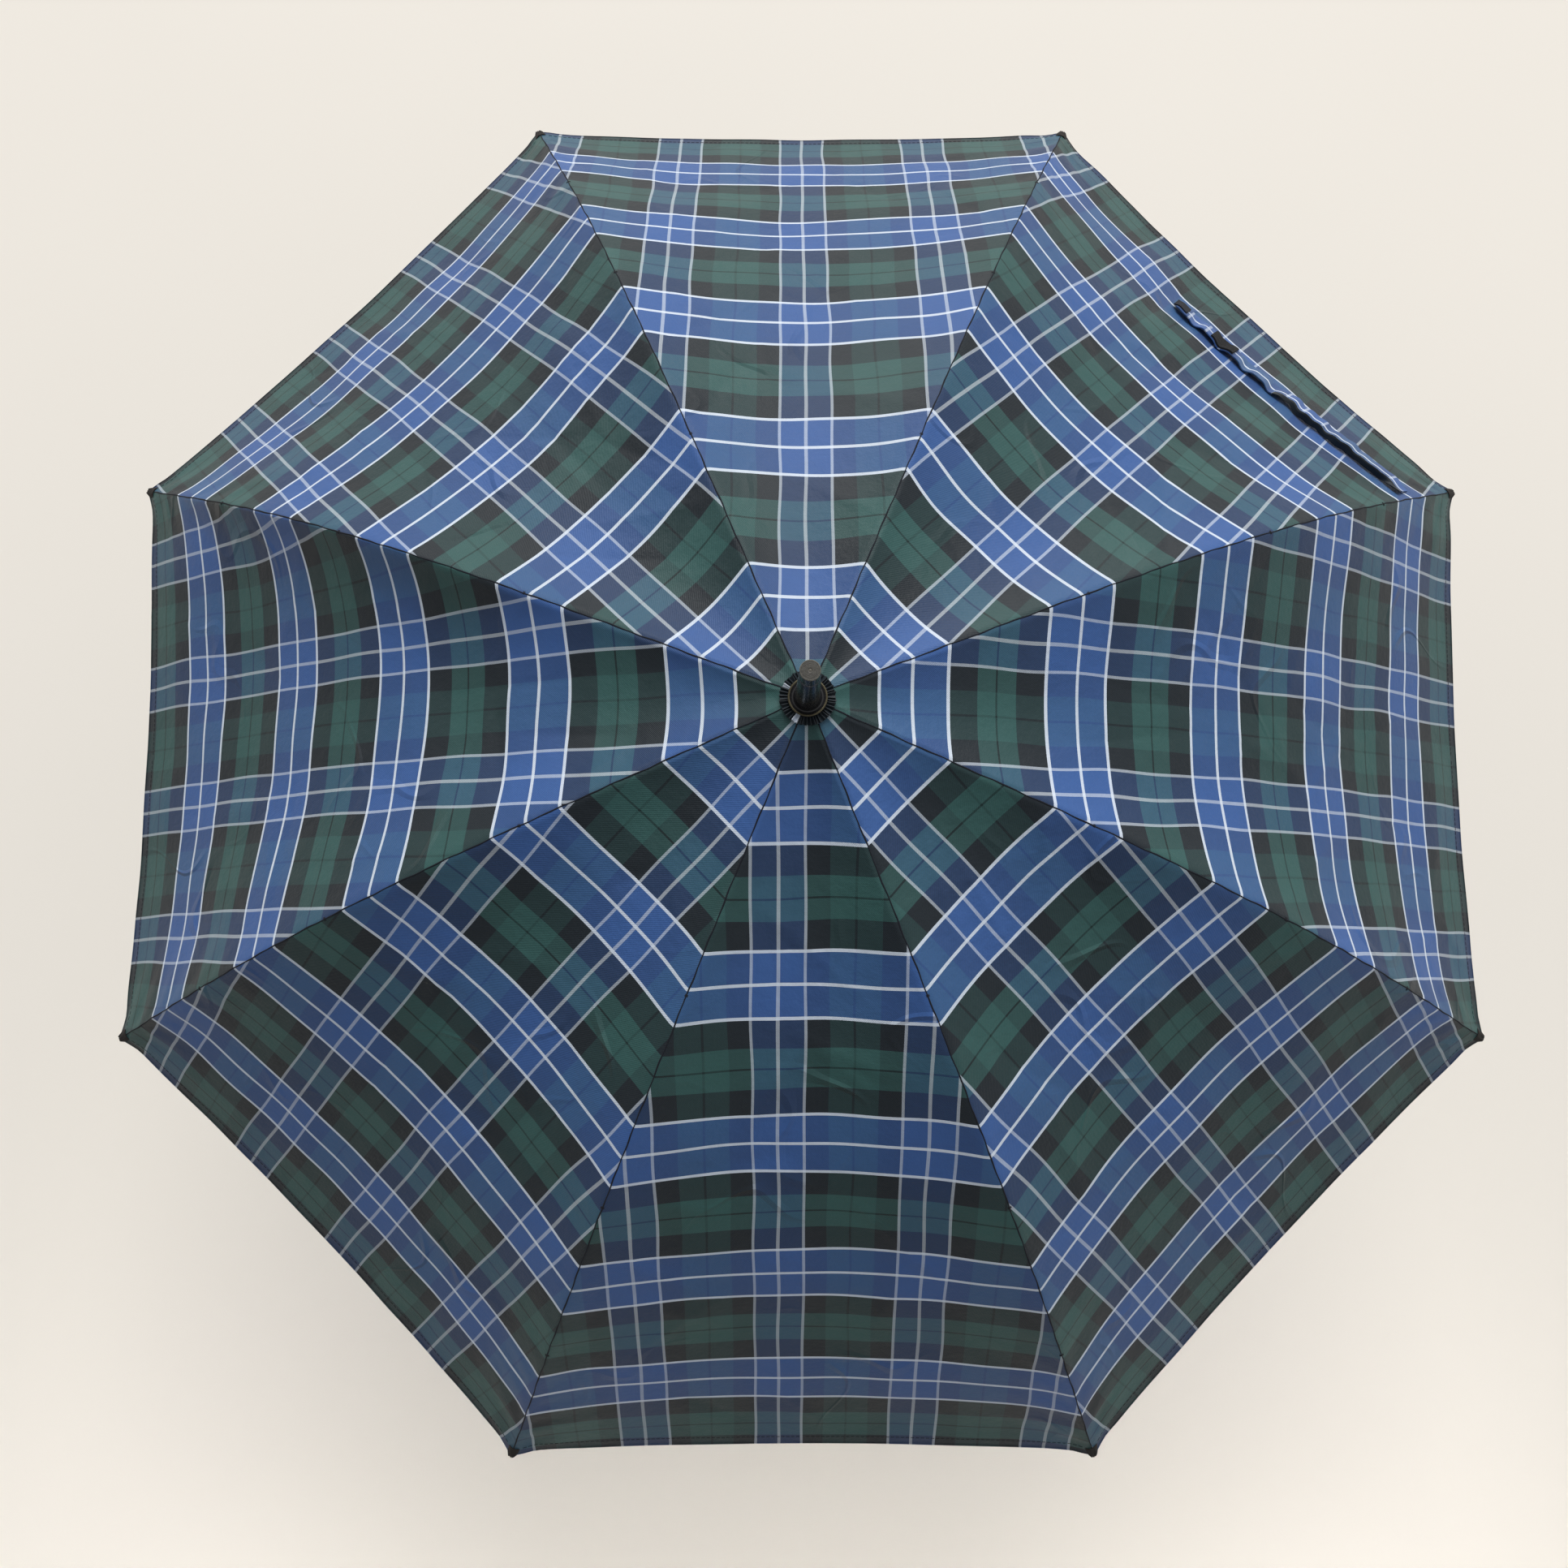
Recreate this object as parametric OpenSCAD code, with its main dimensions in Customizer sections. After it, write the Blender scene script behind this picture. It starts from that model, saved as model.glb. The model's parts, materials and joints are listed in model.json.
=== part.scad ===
// Stick umbrella, open, with its linkage: crown, ribs, stretchers, runner, shaft and crook handle.
// +Z runs up the shaft to the ferrule. The origin is on the shaft axis, at the middle of the grip.

/* [Canopy] */
// Length of a rib along its curve, from its crown pivot to the middle of its end bead
rib_length = 575; // [565:1:580]
// Slope of a rib at the crown, below the horizontal, in degrees
crown_slope = 10.7; // [9:0.1:12]
// Slope of a rib at its tip, in degrees
tip_slope = 43.2; // [41:0.1:45]
// Share of a rib's length at which it starts to curve down
curve_start = 0.15; // [0.1:0.01:0.2]
// Share of a rib's length at which it has reached its tip slope
curve_end = 0.92; // [0.88:0.01:0.96]
// How far the cloth sags below a straight line from rib to rib
panel_sag = 17; // [5:1:19]
// Thickness of a cloth panel's solid
panel_t = 0.8; // [0.6:0.1:1]
// Gap between two panels, and between a panel and the strap on it
panel_gap = 0.4; // [0.3:0.1:0.5]
// Height of the cloth above a rib's top face, which clears the rib's edges as the cloth falls away
panel_rise = 0.8; // [0.7:0.1:1]

/* [Ribs and stretchers] */
// Width and depth of a rib's channel
rib_w = 3.2; // [3:0.1:3.4]
// Wall of a rib's channel
rib_wall = 0.6; // [0.5:0.1:0.7]
// Share of a rib's length at which its stretcher is riveted
joint_share = 0.55; // [0.54:0.01:0.56]
// Depth of the rivet below the middle of the rib
joint_drop = 6; // [5.8:0.1:6.4]
// Radius of a rivet through a rib's clip
rivet_r = 1.2; // [1.1:0.05:1.25]
// Radius of the bead on a rib's tip
bead_r = 1.8; // [1.6:0.1:2]

/* [Shaft and crown] */
// Height of the ribs' crown pivots above the middle of the grip
crown_z = 724; // [720:1:730]
// Distance of the pivots from the shaft axis
pivot_r = 10.5; // [10.4:0.1:10.8]
// Wall of the shaft tube
shaft_wall = 0.7; // [0.6:0.1:0.9]
// Radial clearance of the runner on the shaft
runner_play = 0.08; // [0.05:0.01:0.1]
// Angle through which a rib folds down as the umbrella closes, in degrees
fold_angle = 62.5; // [60:0.5:63]
// Radius of the wires that thread the ribs and the stretchers
wire_r = 0.6; // [0.5:0.05:0.65]

/* [Ferrule] */
// Height of the ferrule's end above the crown pivots
ferrule_h = 82; // [78:1:90]
// Radius of the ferrule's cylindrical end
ferrule_r = 5.5; // [5.4:0.1:5.6]
// Length of the ferrule's cylindrical end
ferrule_pin = 14; // [12:1:16]
// Radius of the flange that presses the cloth down
flange_r = 11.2; // [10.8:0.1:12]
// Radius of the gathered cloth rosette
rosette_r = 15.8; // [15:0.1:16.5]

/* [Handle] */
// Radius of the grip
grip_r = 11; // [10.5:0.1:11.5]
// Radius of the crook, to the middle of the bar
crook_r = 38; // [36:1:42]
// Distance from the middle of the grip down to the start of the crook
crook_drop = 55; // [50:1:60]
// Height of the grip above the middle of the grip
grip_top = 48; // [46:1:50]
// Length of the straight end of the crook
crook_tail = 24; // [20:1:26]

/* [Tie strap] */
// Width of the strap that ties the closed canopy
strap_w = 19; // [17:0.5:20]
// Length of the strap
strap_l = 204; // [198:1:210]

/* [Hidden] */
// Eight ribs stand round the crown, the first at this azimuth.
rib_count = 8;
first_rib = 22.5;

half_gore = 180 / rib_count;
// Outer radius of the shaft, a standard 10 mm tube
shaft_r = 5;
// Clearance of a hole round what it holds
eps = 0.05;
// Steps in which the rib's curve is summed
steps = 48;
ds = rib_length / steps;
black = [0.05, 0.05, 0.06];
steel = [0.55, 0.56, 0.58];
bronze = [0.35, 0.33, 0.3];
blue = [0.16, 0.24, 0.55];
green = [0.1, 0.26, 0.25];

// A smooth 0 to 1 ramp.
function ease(x) = let(c = min(max(x, 0), 1)) c * c * (3 - 2 * c);
// Slope of a rib at share t of its length.
function slope(t) =
    let(bent = ease((t - curve_start) / (curve_end - curve_start)))
    crown_slope + (tip_slope - crown_slope) * bent;
// The rib's points [radius, height, share], each one step further along the middle of the rib.
RIB = [for (i = 0, r = pivot_r, z = crown_z; i <= steps;
            r = r + ds * cos(slope((i + 0.5) / steps)),
            z = z - ds * sin(slope((i + 0.5) / steps)),
            i = i + 1) [r, z, i / steps]];
RIB_R = [for (p = RIB) [p[2], p[0]]];
RIB_Z = [for (p = RIB) [p[2], p[1]]];
// The point at share t of the rib, moved out along the rib's normal.
function on_rib(t, out = 0) =
    [lookup(t, RIB_R) + out * sin(slope(t)), lookup(t, RIB_Z) + out * cos(slope(t))];
// The outline of a strip along the rib from share a to share b, between two distances from its middle.
function strip(a, b, low, high, n) = concat(
    [for (i = [0:n]) on_rib(a + (b - a) * i / n, high)],
    [for (i = [n:-1:0]) on_rib(a + (b - a) * i / n, low)]);

// The eyes that the wires pass through, at the ends of the ribs' and stretchers' tongues
eye_r = 2;
eye_hole = wire_r + 0.3;
tongue_w = rib_w - 2 * rib_wall;
// The notched rings: their slots' width, their outer radius, and the radius where the slots start
slot_w = tongue_w + 0.6;
notch_r = 13.5;
core_r = 8.4;
// Thickness of each cheek of the clip that holds a rivet
clip_t = 0.9;
// The bead's sleeve, as distances back from the bead's middle to its open and closed ends
sleeve_r = 2.5;
sleeve_open = 10;
sleeve_shut = 3.8;
neck_r = bead_r / 2;
// The channel starts at this share of the rib, and ends inside the bead's sleeve.
channel_start = 0.012;
channel_end = 1 - (sleeve_shut + 0.8) / rib_length;
// The cloth starts outside the crown's ring and ends short of the bead's sleeve.
panel_from = 0.012;
panel_to = 0.982;
panel_low = rib_w / 2 + panel_rise;
// Half the width of the cloth that lies flat on a rib, beyond the rib's clip
rib_seat = rib_w / 2 + 0.9;
joint_at = on_rib(joint_share, -joint_drop);
link_a = norm(joint_at - [pivot_r, crown_z]);
joint_fall = crown_z - joint_at[1];
runner_z = crown_z - 2 * joint_fall;
stretcher_tilt = acos(joint_fall / link_a);
// The two links are equally long, so the runner's way follows from the fold.
runner_travel = 2 * link_a * cos(stretcher_tilt - fold_angle) - 2 * joint_fall;
closed_z = runner_z - runner_travel;
// Length of the runner below its wire
runner_l = 48;
spring_h = 34;
top_spring_z = runner_z - runner_l - spring_h;
bottom_spring_z = closed_z - runner_l + 8;
stop_z = runner_z + 14;
stop_r = 1.45;
top_of_cloth = crown_z + 1.6;
// The ferrule's cylindrical end starts here, and the shaft ends inside the cone below it.
ferrule_z = crown_z + ferrule_h - ferrule_pin;
shaft_top = ferrule_z - 10;
shaft_bottom = -30;
flange_z = crown_z + 5.2;
rivet_z = flange_z + 6;
tip_stem_r = 3;
tip_disc_r = ferrule_r - 0.65;
// The strap is sewn on at this share of the rib and this share of the gore's width.
strap_at = 0.853;
strap_from = 0.02;
strap_out = panel_low + panel_t + panel_gap;
patch_l = 20;

// Places its children at rib number k, with +X pointing out along the rib.
module at_rib(k) {
    rotate([0, 0, first_rib + (k - 1) * 360 / rib_count]) children();
}

// Thickens an outline drawn in radius and height to a plate of width w across the rib.
module plate(w) {
    rotate([90, 0, 0]) linear_extrude(height = w, center = true) children();
}

// A cylinder across the rib at a point [radius, height].
module across(at, r, w) {
    translate([at[0], 0, at[1]]) rotate([90, 0, 0]) cylinder(r = r, h = w, center = true, $fn = 32);
}

// A round bar or hole right across the shaft at height z.
module crossbar(z, r) {
    translate([0, 0, z]) rotate([90, 0, 0]) cylinder(r = r, h = 30, center = true, $fn = 32);
}

// A torus of wire round the shaft.
module wire_ring(z) {
    translate([0, 0, z]) rotate_extrude($fn = 96) translate([pivot_r, 0]) circle(r = wire_r, $fn = 24);
}

// The toothed ring that holds the ribs' or the stretchers' ends on a wire.
module notched_ring(low, high, bore) {
    difference() {
        translate([0, 0, low]) cylinder(r = notch_r, h = high - low, $fn = 96);
        translate([0, 0, low - 1]) cylinder(r = bore, h = high - low + 2, $fn = 64);
        for (k = [1:rib_count]) {
            at_rib(k) translate([core_r, -slot_w / 2, low - 1]) cube([notch_r, slot_w, high - low + 2]);
        }
    }
}

// The groove that a ring's wire lies in, open at the top.
module wire_groove(z, high) {
    translate([0, 0, z - wire_r]) difference() {
        cylinder(r = pivot_r + wire_r + eps, h = high, $fn = 96);
        translate([0, 0, -1]) cylinder(r = pivot_r - wire_r - eps, h = high + 2, $fn = 96);
    }
}

module shaft() {
    color(steel) difference() {
        translate([0, 0, shaft_bottom]) cylinder(r = shaft_r, h = shaft_top - shaft_bottom, $fn = 64);
        translate([0, 0, shaft_bottom - 1]) cylinder(r = shaft_r - shaft_wall, h = ferrule_z, $fn = 64);
        spring_slot(top_spring_z);
        spring_slot(bottom_spring_z);
        crossbar(stop_z, stop_r + eps);
    }
}

// The window in the shaft that a catch spring stands out of.
module spring_slot(z) {
    translate([0, -1.4, z]) cube([10, 2.8, spring_h]);
}

// A leaf spring with a raised catch, lying in the shaft.
module catch_spring(z) {
    translate([0, 1, z]) rotate([90, 0, 0]) linear_extrude(height = 2)
        polygon([[0.6, 1], [2.4, 0.9], [3.4, 12], [6.9, 26], [7.4, 31], [3.2, 33], [2.2, 33], [2.2, 31.6],
                 [5.9, 29.8], [5.7, 26.4], [2.2, 12.6], [1.2, 3]]);
}

module top_spring() {
    color(steel) catch_spring(top_spring_z);
}

module bottom_spring() {
    color(steel) catch_spring(bottom_spring_z);
}

// The headed pin across the shaft that the open runner stops short of.
module runner_stop() {
    color(steel) translate([0, 0, stop_z]) rotate([90, 0, 0]) union() {
        cylinder(r = stop_r, h = 2 * shaft_r + 2.4, center = true, $fn = 32);
        translate([0, 0, shaft_r + 0.2]) cylinder(r = 2.2, h = 1, $fn = 32);
        translate([0, 0, -shaft_r - 1.2]) cylinder(r = 2.2, h = 1, $fn = 32);
    }
}

module crown_notch() {
    color(black) difference() {
        union() {
            notched_ring(crown_z - 4, crown_z + 1.1, shaft_r + eps);
            translate([0, 0, crown_z - 14]) difference() {
                cylinder(r = 7.6, h = 10.5, $fn = 64);
                translate([0, 0, -1]) cylinder(r = shaft_r + eps, h = 13, $fn = 64);
            }
        }
        wire_groove(crown_z, 3);
    }
}

module crown_wire() {
    color(steel) wire_ring(crown_z);
}

module rosette() {
    color(blue) translate([0, 0, top_of_cloth + 0.4]) rotate_extrude($fn = 96)
        polygon([[7.1, 0.9], [13, 0.2], [rosette_r, 0], [rosette_r, 1.2], [13, 2.5], [7.1, 3]]);
}

module ferrule() {
    color(black) difference() {
        rotate_extrude($fn = 96) polygon([[0, top_of_cloth], [6.9, top_of_cloth], [6.9, flange_z],
            [flange_r - 1.2, flange_z], [flange_r, flange_z + 0.8], [flange_r, flange_z + 1.8],
            [flange_r - 0.9, flange_z + 2.2], [8.4, flange_z + 1.3], [7.4, flange_z + 2.6],
            [7, flange_z + 8], [ferrule_r + 0.2, ferrule_z - 1.4], [ferrule_r, ferrule_z],
            [ferrule_r, ferrule_z + ferrule_pin], [0, ferrule_z + ferrule_pin]]);
        translate([0, 0, crown_z]) cylinder(r = shaft_r + eps, h = shaft_top + 1 - crown_z, $fn = 64);
        translate([0, 0, ferrule_z + 4]) cylinder(r = tip_stem_r + eps, h = 20, $fn = 48);
        translate([0, 0, ferrule_z + ferrule_pin - 0.6]) cylinder(r = tip_disc_r + eps, h = 2, $fn = 64);
        crossbar(rivet_z, 1 + eps);
    }
}

// The worn disc that closes the ferrule's end, on its stem.
module ferrule_tip() {
    color([0.4, 0.4, 0.4]) union() {
        translate([0, 0, ferrule_z + 4.2]) cylinder(r = tip_stem_r, h = ferrule_pin - 4.5, $fn = 48);
        translate([0, 0, ferrule_z + ferrule_pin - 0.55])
            cylinder(r1 = tip_disc_r, r2 = tip_disc_r - 0.25, h = 0.95, $fn = 64);
    }
}

// The small pin through the ferrule, just outside the shaft on each side.
module ferrule_rivet() {
    color(steel) for (side = [-1, 1]) {
        translate([0, side * 6.1, rivet_z]) rotate([90, 0, 0])
            cylinder(r = 1, h = 1.8, center = true, $fn = 32);
    }
}

module runner() {
    color(black) difference() {
        union() {
            notched_ring(runner_z - 3.5, runner_z + 3, shaft_r + runner_play);
            translate([0, 0, runner_z - runner_l]) tube_wall(7.9, runner_l - 3);
            translate([0, 0, runner_z + 2]) tube_wall(7.2, 7);
        }
        wire_groove(runner_z, 5);
        // the window that the bottom spring's catch springs into
        translate([0, -1.8, runner_z - runner_l + 8]) cube([10, 3.6, 27]);
    }
}

// A sleeve that runs on the shaft.
module tube_wall(r, h) {
    difference() {
        cylinder(r = r, h = h, $fn = 64);
        translate([0, 0, -1]) cylinder(r = shaft_r + runner_play, h = h + 2, $fn = 64);
    }
}

module runner_wire() {
    color(steel) wire_ring(runner_z);
}

module rib(k) {
    color(black) at_rib(k) difference() {
        union() {
            difference() {
                plate(rib_w) polygon(strip(channel_start, channel_end, -rib_w / 2, rib_w / 2, 30));
                plate(tongue_w) polygon(strip(0.03, 1.01, -rib_w, rib_w / 2 - rib_wall, 30));
            }
            plate(tongue_w) polygon(strip(0, 0.032, -1.3, 1.3, 4));
            across([pivot_r, crown_z], eye_r, tongue_w);
        }
        across([pivot_r, crown_z], eye_hole, 10);
    }
}

// The two cheeks of the clip under a rib, and the rivet through them.
module rivet_clip() {
    half = 6.5 / rib_length;
    from = joint_share - half;
    to = joint_share + half;
    for (side = [-1, 1]) {
        translate([0, side * (rib_w + clip_t) / 2, 0]) difference() {
            union() {
                plate(clip_t) polygon(strip(from, to, 1 - joint_drop, 1.2, 2));
                across(joint_at, 2.6, clip_t);
            }
            across(joint_at, rivet_r + eps, 4);
        }
    }
    across(joint_at, rivet_r, rib_w + 2 * clip_t + 0.6);
}

// The sleeve over a rib's end, its neck and its bead, with the bead's middle at the origin and +Z outwards.
module tip_bead() {
    hole_w = rib_w + 2 * eps;
    difference() {
        rotate_extrude($fn = 48) polygon([[0, -sleeve_open], [sleeve_r - eps, -sleeve_open],
            [sleeve_r, -sleeve_shut - 1], [sleeve_r - 0.6, -sleeve_shut], [neck_r, 0.5 - sleeve_shut],
            for (a = [-60:15:90]) [bead_r * cos(a), bead_r * sin(a)]]);
        translate([-hole_w / 2, -hole_w / 2, -sleeve_open - 1])
            cube([hole_w, hole_w, sleeve_open - sleeve_shut + 0.3]);
    }
}

// The clip and rivet under a rib, and the bead on its tip.
module rib_fittings(k) {
    tip = on_rib(1);
    color(bronze) at_rib(k) {
        rivet_clip();
        translate([tip[0], 0, tip[1]]) rotate([0, 90 + tip_slope, 0]) tip_bead();
    }
}

// A stretcher, from the rivet under the rib to the wire on the runner.
module stretcher(k) {
    color(black) at_rib(k) translate([joint_at[0], 0, joint_at[1]]) rotate([0, 180 + stretcher_tilt, 0])
        difference() {
            union() {
                difference() {
                    translate([-1.5, -rib_w / 2, 8]) cube([3, rib_w, link_a - 20]);
                    translate([-0.9, -tongue_w / 2, 7]) cube([4, tongue_w, link_a]);
                }
                translate([-1.5, -tongue_w / 2, 0]) cube([3, tongue_w, 12]);
                translate([-1.5, -tongue_w / 2, link_a - 16]) cube([3, tongue_w, 16]);
                across([0, 0], 2.4, tongue_w);
                across([0, link_a], eye_r, tongue_w);
            }
            across([0, 0], rivet_r + eps, 10);
            across([0, link_a], eye_hole, 10);
        }
}

// Straight distance from rib to rib at share t of the ribs.
function gore_w(t) = 2 * sin(half_gore) * on_rib(t)[0];
// Sag of the cloth at share t of the rib.
function sag(t) = panel_sag * sin(180 * min(t / 1.1, 1));
// A point of the cloth: share t along the rib, share v across the gore from this rib to the next,
// at a height out above the rib's middle, with v from 0 to 0.5 on this rib's half.
function cloth(t, v, out) =
    let(p = on_rib(t), a = 2 * half_gore, n = a * v,
        seat = rib_seat / gore_w(t), q = max(v - seat, 0) / (1 - 2 * seat),
        lift = out - 4 * q * (1 - q) * sag(t))
    [p[0] * (1 - v) + p[0] * cos(a) * v + lift * sin(slope(t)) * cos(n),
     p[0] * sin(a) * v + lift * sin(slope(t)) * sin(n),
     p[1] + lift * cos(slope(t))];

// Rows along a panel and columns across it
panel_n = 14;
panel_m = 5;
row = panel_m + 1;
// Share across the gore of column j. The first lies on the rib, the second leaves it at its seat,
// and the panel keeps panel_gap / 2 clear of the rib's plane and of the fold line.
function column(t, j) =
    let(edge = 0.5 * panel_gap / gore_w(t), seat = rib_seat / gore_w(t))
    j == 0 ? edge : seat + (0.5 - edge - seat) * (j - 1) / (panel_m - 1);
function layer(out) = [for (i = [0:panel_n]) for (j = [0:panel_m])
    let(t = panel_from + (panel_to - panel_from) * i / panel_n) cloth(t, column(t, j), out)];
count = (panel_n + 1) * row;
TOP_FACES = [for (i = [0:panel_n - 1]) for (j = [0:panel_m - 1])
    let(a = i * row + j) each [[a, a + 1, a + row + 1], [a, a + row + 1, a + row]]];
// The panel's edge, once round.
RIM = concat([for (j = [0:panel_m]) j],
             [for (i = [1:panel_n]) i * row + panel_m],
             [for (j = [panel_m - 1:-1:0]) panel_n * row + j],
             [for (i = [panel_n - 1:-1:1]) i * row]);
EDGE_FACES = [for (i = [0:len(RIM) - 1]) let(a = RIM[i], b = RIM[(i + 1) % len(RIM)])
    each [[b, a, a + count], [b, a + count, b + count]]];

// Half a cloth panel, from its rib to the fold line in the middle of the gore.
module half_panel() {
    polyhedron(points = concat(layer(panel_low + panel_t), layer(panel_low)),
               faces = concat(TOP_FACES, EDGE_FACES,
                              [for (f = TOP_FACES) [f[2] + count, f[1] + count, f[0] + count]]),
               convexity = 4);
}

module panel_left(k) {
    color(green) at_rib(k) half_panel();
}

module panel_right(k) {
    color(blue) at_rib(k) mirror([0, 1, 0]) half_panel();
}

// The strap's line over the cloth beside the first rib: share w of its length from its sewn end.
function strap_v(w) = strap_from + strap_l / gore_w(strap_at) * w;
function strap_point(w, side, out) =
    let(t = strap_at + side * strap_w / 2 / rib_length) cloth(t, strap_v(w), out);

// A flat strip that follows the cloth, from share a to share b of the strap's length.
module on_cloth(a, b, low, high, n) {
    ring = [for (i = [0:n]) for (q = [[-1, low], [1, low], [1, high], [-1, high]])
        strap_point(a + (b - a) * i / n, q[0], q[1])];
    sides = [for (i = [0:n - 1]) for (q = [0:3])
        let(p = i * 4 + q, r = i * 4 + (q + 1) % 4) each [[p, p + 4, r + 4], [p, r + 4, r]]];
    polyhedron(points = ring, faces = concat(sides, [[0, 1, 2], [0, 2, 3]],
        [[n * 4 + 2, n * 4 + 1, n * 4], [n * 4 + 3, n * 4 + 2, n * 4]]), convexity = 4);
}

module tie_strap() {
    color(blue) at_rib(1) on_cloth(0, 1, strap_out, strap_out + 1.2, 16);
}

module tie_strap_patch() {
    from = 0.74;
    color(black) at_rib(1) on_cloth(from, from + patch_l / strap_l, strap_out + 1.4, strap_out + 2.6, 2);
}

// The grip, its crook towards +X and the crook's straight end.
module handle() {
    color([0.12, 0.09, 0.07]) difference() {
        union() {
            translate([0, 0, -crook_drop]) cylinder(r = grip_r, h = grip_top + crook_drop, $fn = 64);
            translate([crook_r, 0, -crook_drop]) rotate([-90, 0, 0]) rotate_extrude(angle = 180, $fn = 96)
                translate([crook_r, 0]) circle(r = grip_r, $fn = 48);
            translate([2 * crook_r, 0, -crook_drop]) cylinder(r = grip_r, h = crook_tail, $fn = 64);
        }
        translate([0, 0, shaft_bottom - 0.2]) cylinder(r = shaft_r + eps, h = 200, $fn = 64);
    }
}

module handle_collar() {
    color(steel) translate([0, 0, grip_top]) difference() {
        rotate_extrude($fn = 64) polygon([[0, 0.1], [grip_r, 0.1], [grip_r + 0.6, 1], [grip_r + 0.6, 6.5],
            [grip_r - 0.6, 8], [0, 8]]);
        translate([0, 0, -1]) cylinder(r = shaft_r + eps, h = 20, $fn = 64);
    }
}

module handle_end_cap() {
    color(steel) translate([2 * crook_r, 0, -crook_drop + crook_tail]) rotate_extrude($fn = 64)
        polygon([[0, 0.1], [grip_r + 0.5, 0.1], [grip_r + 0.5, 5],
            for (a = [20:10:90]) [grip_r * cos(a), 3 + 6 * sin(a)]]);
}

shaft();
crown_notch();
crown_wire();
rosette();
ferrule();
ferrule_tip();
ferrule_rivet();
runner_stop();
handle();
handle_collar();
handle_end_cap();
runner();
runner_wire();
top_spring();
bottom_spring();
tie_strap();
tie_strap_patch();
for (k = [1:rib_count]) {
    rib(k);
    rib_fittings(k);
    stretcher(k);
    panel_left(k);
    panel_right(k);
}
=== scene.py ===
"""Looks for the stick umbrella: its cloth, ferrule, handle and materials, and the light and camera.

Lengths are in metres and angles in radians unless a name says otherwise. Rib K stands at azimuth
22.5 + 45 (K - 1) degrees, and gore K is the cloth from rib K to rib K + 1.
"""

import json
import math

import bmesh
import bpy
import numpy as np
from mathutils import Matrix, Vector


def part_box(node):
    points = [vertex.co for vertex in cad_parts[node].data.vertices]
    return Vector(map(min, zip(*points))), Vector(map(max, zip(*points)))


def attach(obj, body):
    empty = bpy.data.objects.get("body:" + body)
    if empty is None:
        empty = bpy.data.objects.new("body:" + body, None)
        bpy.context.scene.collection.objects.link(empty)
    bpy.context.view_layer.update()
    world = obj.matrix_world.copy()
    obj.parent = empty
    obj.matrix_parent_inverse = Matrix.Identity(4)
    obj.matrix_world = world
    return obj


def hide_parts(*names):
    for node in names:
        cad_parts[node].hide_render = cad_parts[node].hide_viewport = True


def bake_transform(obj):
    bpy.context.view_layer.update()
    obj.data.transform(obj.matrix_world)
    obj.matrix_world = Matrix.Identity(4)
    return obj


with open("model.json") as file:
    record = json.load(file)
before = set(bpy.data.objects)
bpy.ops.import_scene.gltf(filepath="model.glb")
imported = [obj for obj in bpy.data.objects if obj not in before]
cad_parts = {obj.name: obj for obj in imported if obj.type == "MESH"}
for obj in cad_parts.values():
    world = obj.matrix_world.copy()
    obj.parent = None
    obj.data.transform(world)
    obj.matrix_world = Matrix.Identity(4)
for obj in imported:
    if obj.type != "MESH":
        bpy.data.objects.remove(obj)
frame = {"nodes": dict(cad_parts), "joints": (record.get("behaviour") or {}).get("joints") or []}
bpy.context.view_layer.update()

# ---------------------------------------------------------------- what the frame says
JOINTS = {j["name"]: j for j in frame["joints"]}
RIBS = sum(1 for name in JOINTS if name.startswith("rib_"))
GORE = 2 * math.pi / RIBS
HALF_GORE = GORE / 2
RIB_PIVOT = JOINTS["rib_1_hinge"]["pos_m"]
PIVOT_R = math.hypot(RIB_PIVOT[0], RIB_PIVOT[1])
CROWN_Z = RIB_PIVOT[2]

# ---------------------------------------------------------------- the rib's curve
RIB_LENGTH = 0.575
CROWN_SLOPE = math.radians(10.7)
TIP_SLOPE = math.radians(43.2)
CURVE_FROM, CURVE_TO = 0.15, 0.92
# Height of the cloth's middle above the rib's middle, its sag between two ribs, and its thickness
CLOTH_UP = 0.0028
CLOTH_SAG = 0.017
CLOTH_T = 0.0004
# Half the width of the cloth that lies flat on a rib
RIB_SEAT = 0.0025
# Shares of the rib where the cloth starts, under the rosette, and ends, at the hem and at its corner
CLOTH_FROM = 0.0015
HEM_AT = 0.9800
CORNER_AT = 0.9900


def ease(x):
    """A smooth 0 to 1 ramp."""
    c = np.clip(x, 0, 1)
    return c * c * (3 - 2 * c)


CURVE_STEPS = 1150
SHARES = np.linspace(0, 1, CURVE_STEPS + 1)
SLOPES = CROWN_SLOPE + (TIP_SLOPE - CROWN_SLOPE) * ease((SHARES - CURVE_FROM) / (CURVE_TO - CURVE_FROM))
MIDDLES = (SLOPES[1:] + SLOPES[:-1]) / 2
STEP = RIB_LENGTH / CURVE_STEPS
RIB_R = PIVOT_R + np.concatenate([[0], np.cumsum(np.cos(MIDDLES)) * STEP])
RIB_Z = CROWN_Z - np.concatenate([[0], np.cumsum(np.sin(MIDDLES)) * STEP])
# Distance from the crown along the cloth as it was cut flat: a gore's middle line is shorter than its ribs
CHORD_LOSS = math.sin(HALF_GORE) ** 2
FLAT_Y = PIVOT_R * math.sqrt(1 - CHORD_LOSS * math.cos(CROWN_SLOPE) ** 2) + np.concatenate(
    [[0], np.cumsum(np.sqrt(1 - CHORD_LOSS * np.cos(MIDDLES) ** 2)) * STEP])


def rib_azimuth(k):
    """Direction of rib k from the shaft."""
    return HALF_GORE + (k - 1) * GORE


def gore_width(t):
    """Straight distance from rib to rib at share t."""
    return 2 * math.sin(HALF_GORE) * np.interp(t, SHARES, RIB_R)


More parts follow.
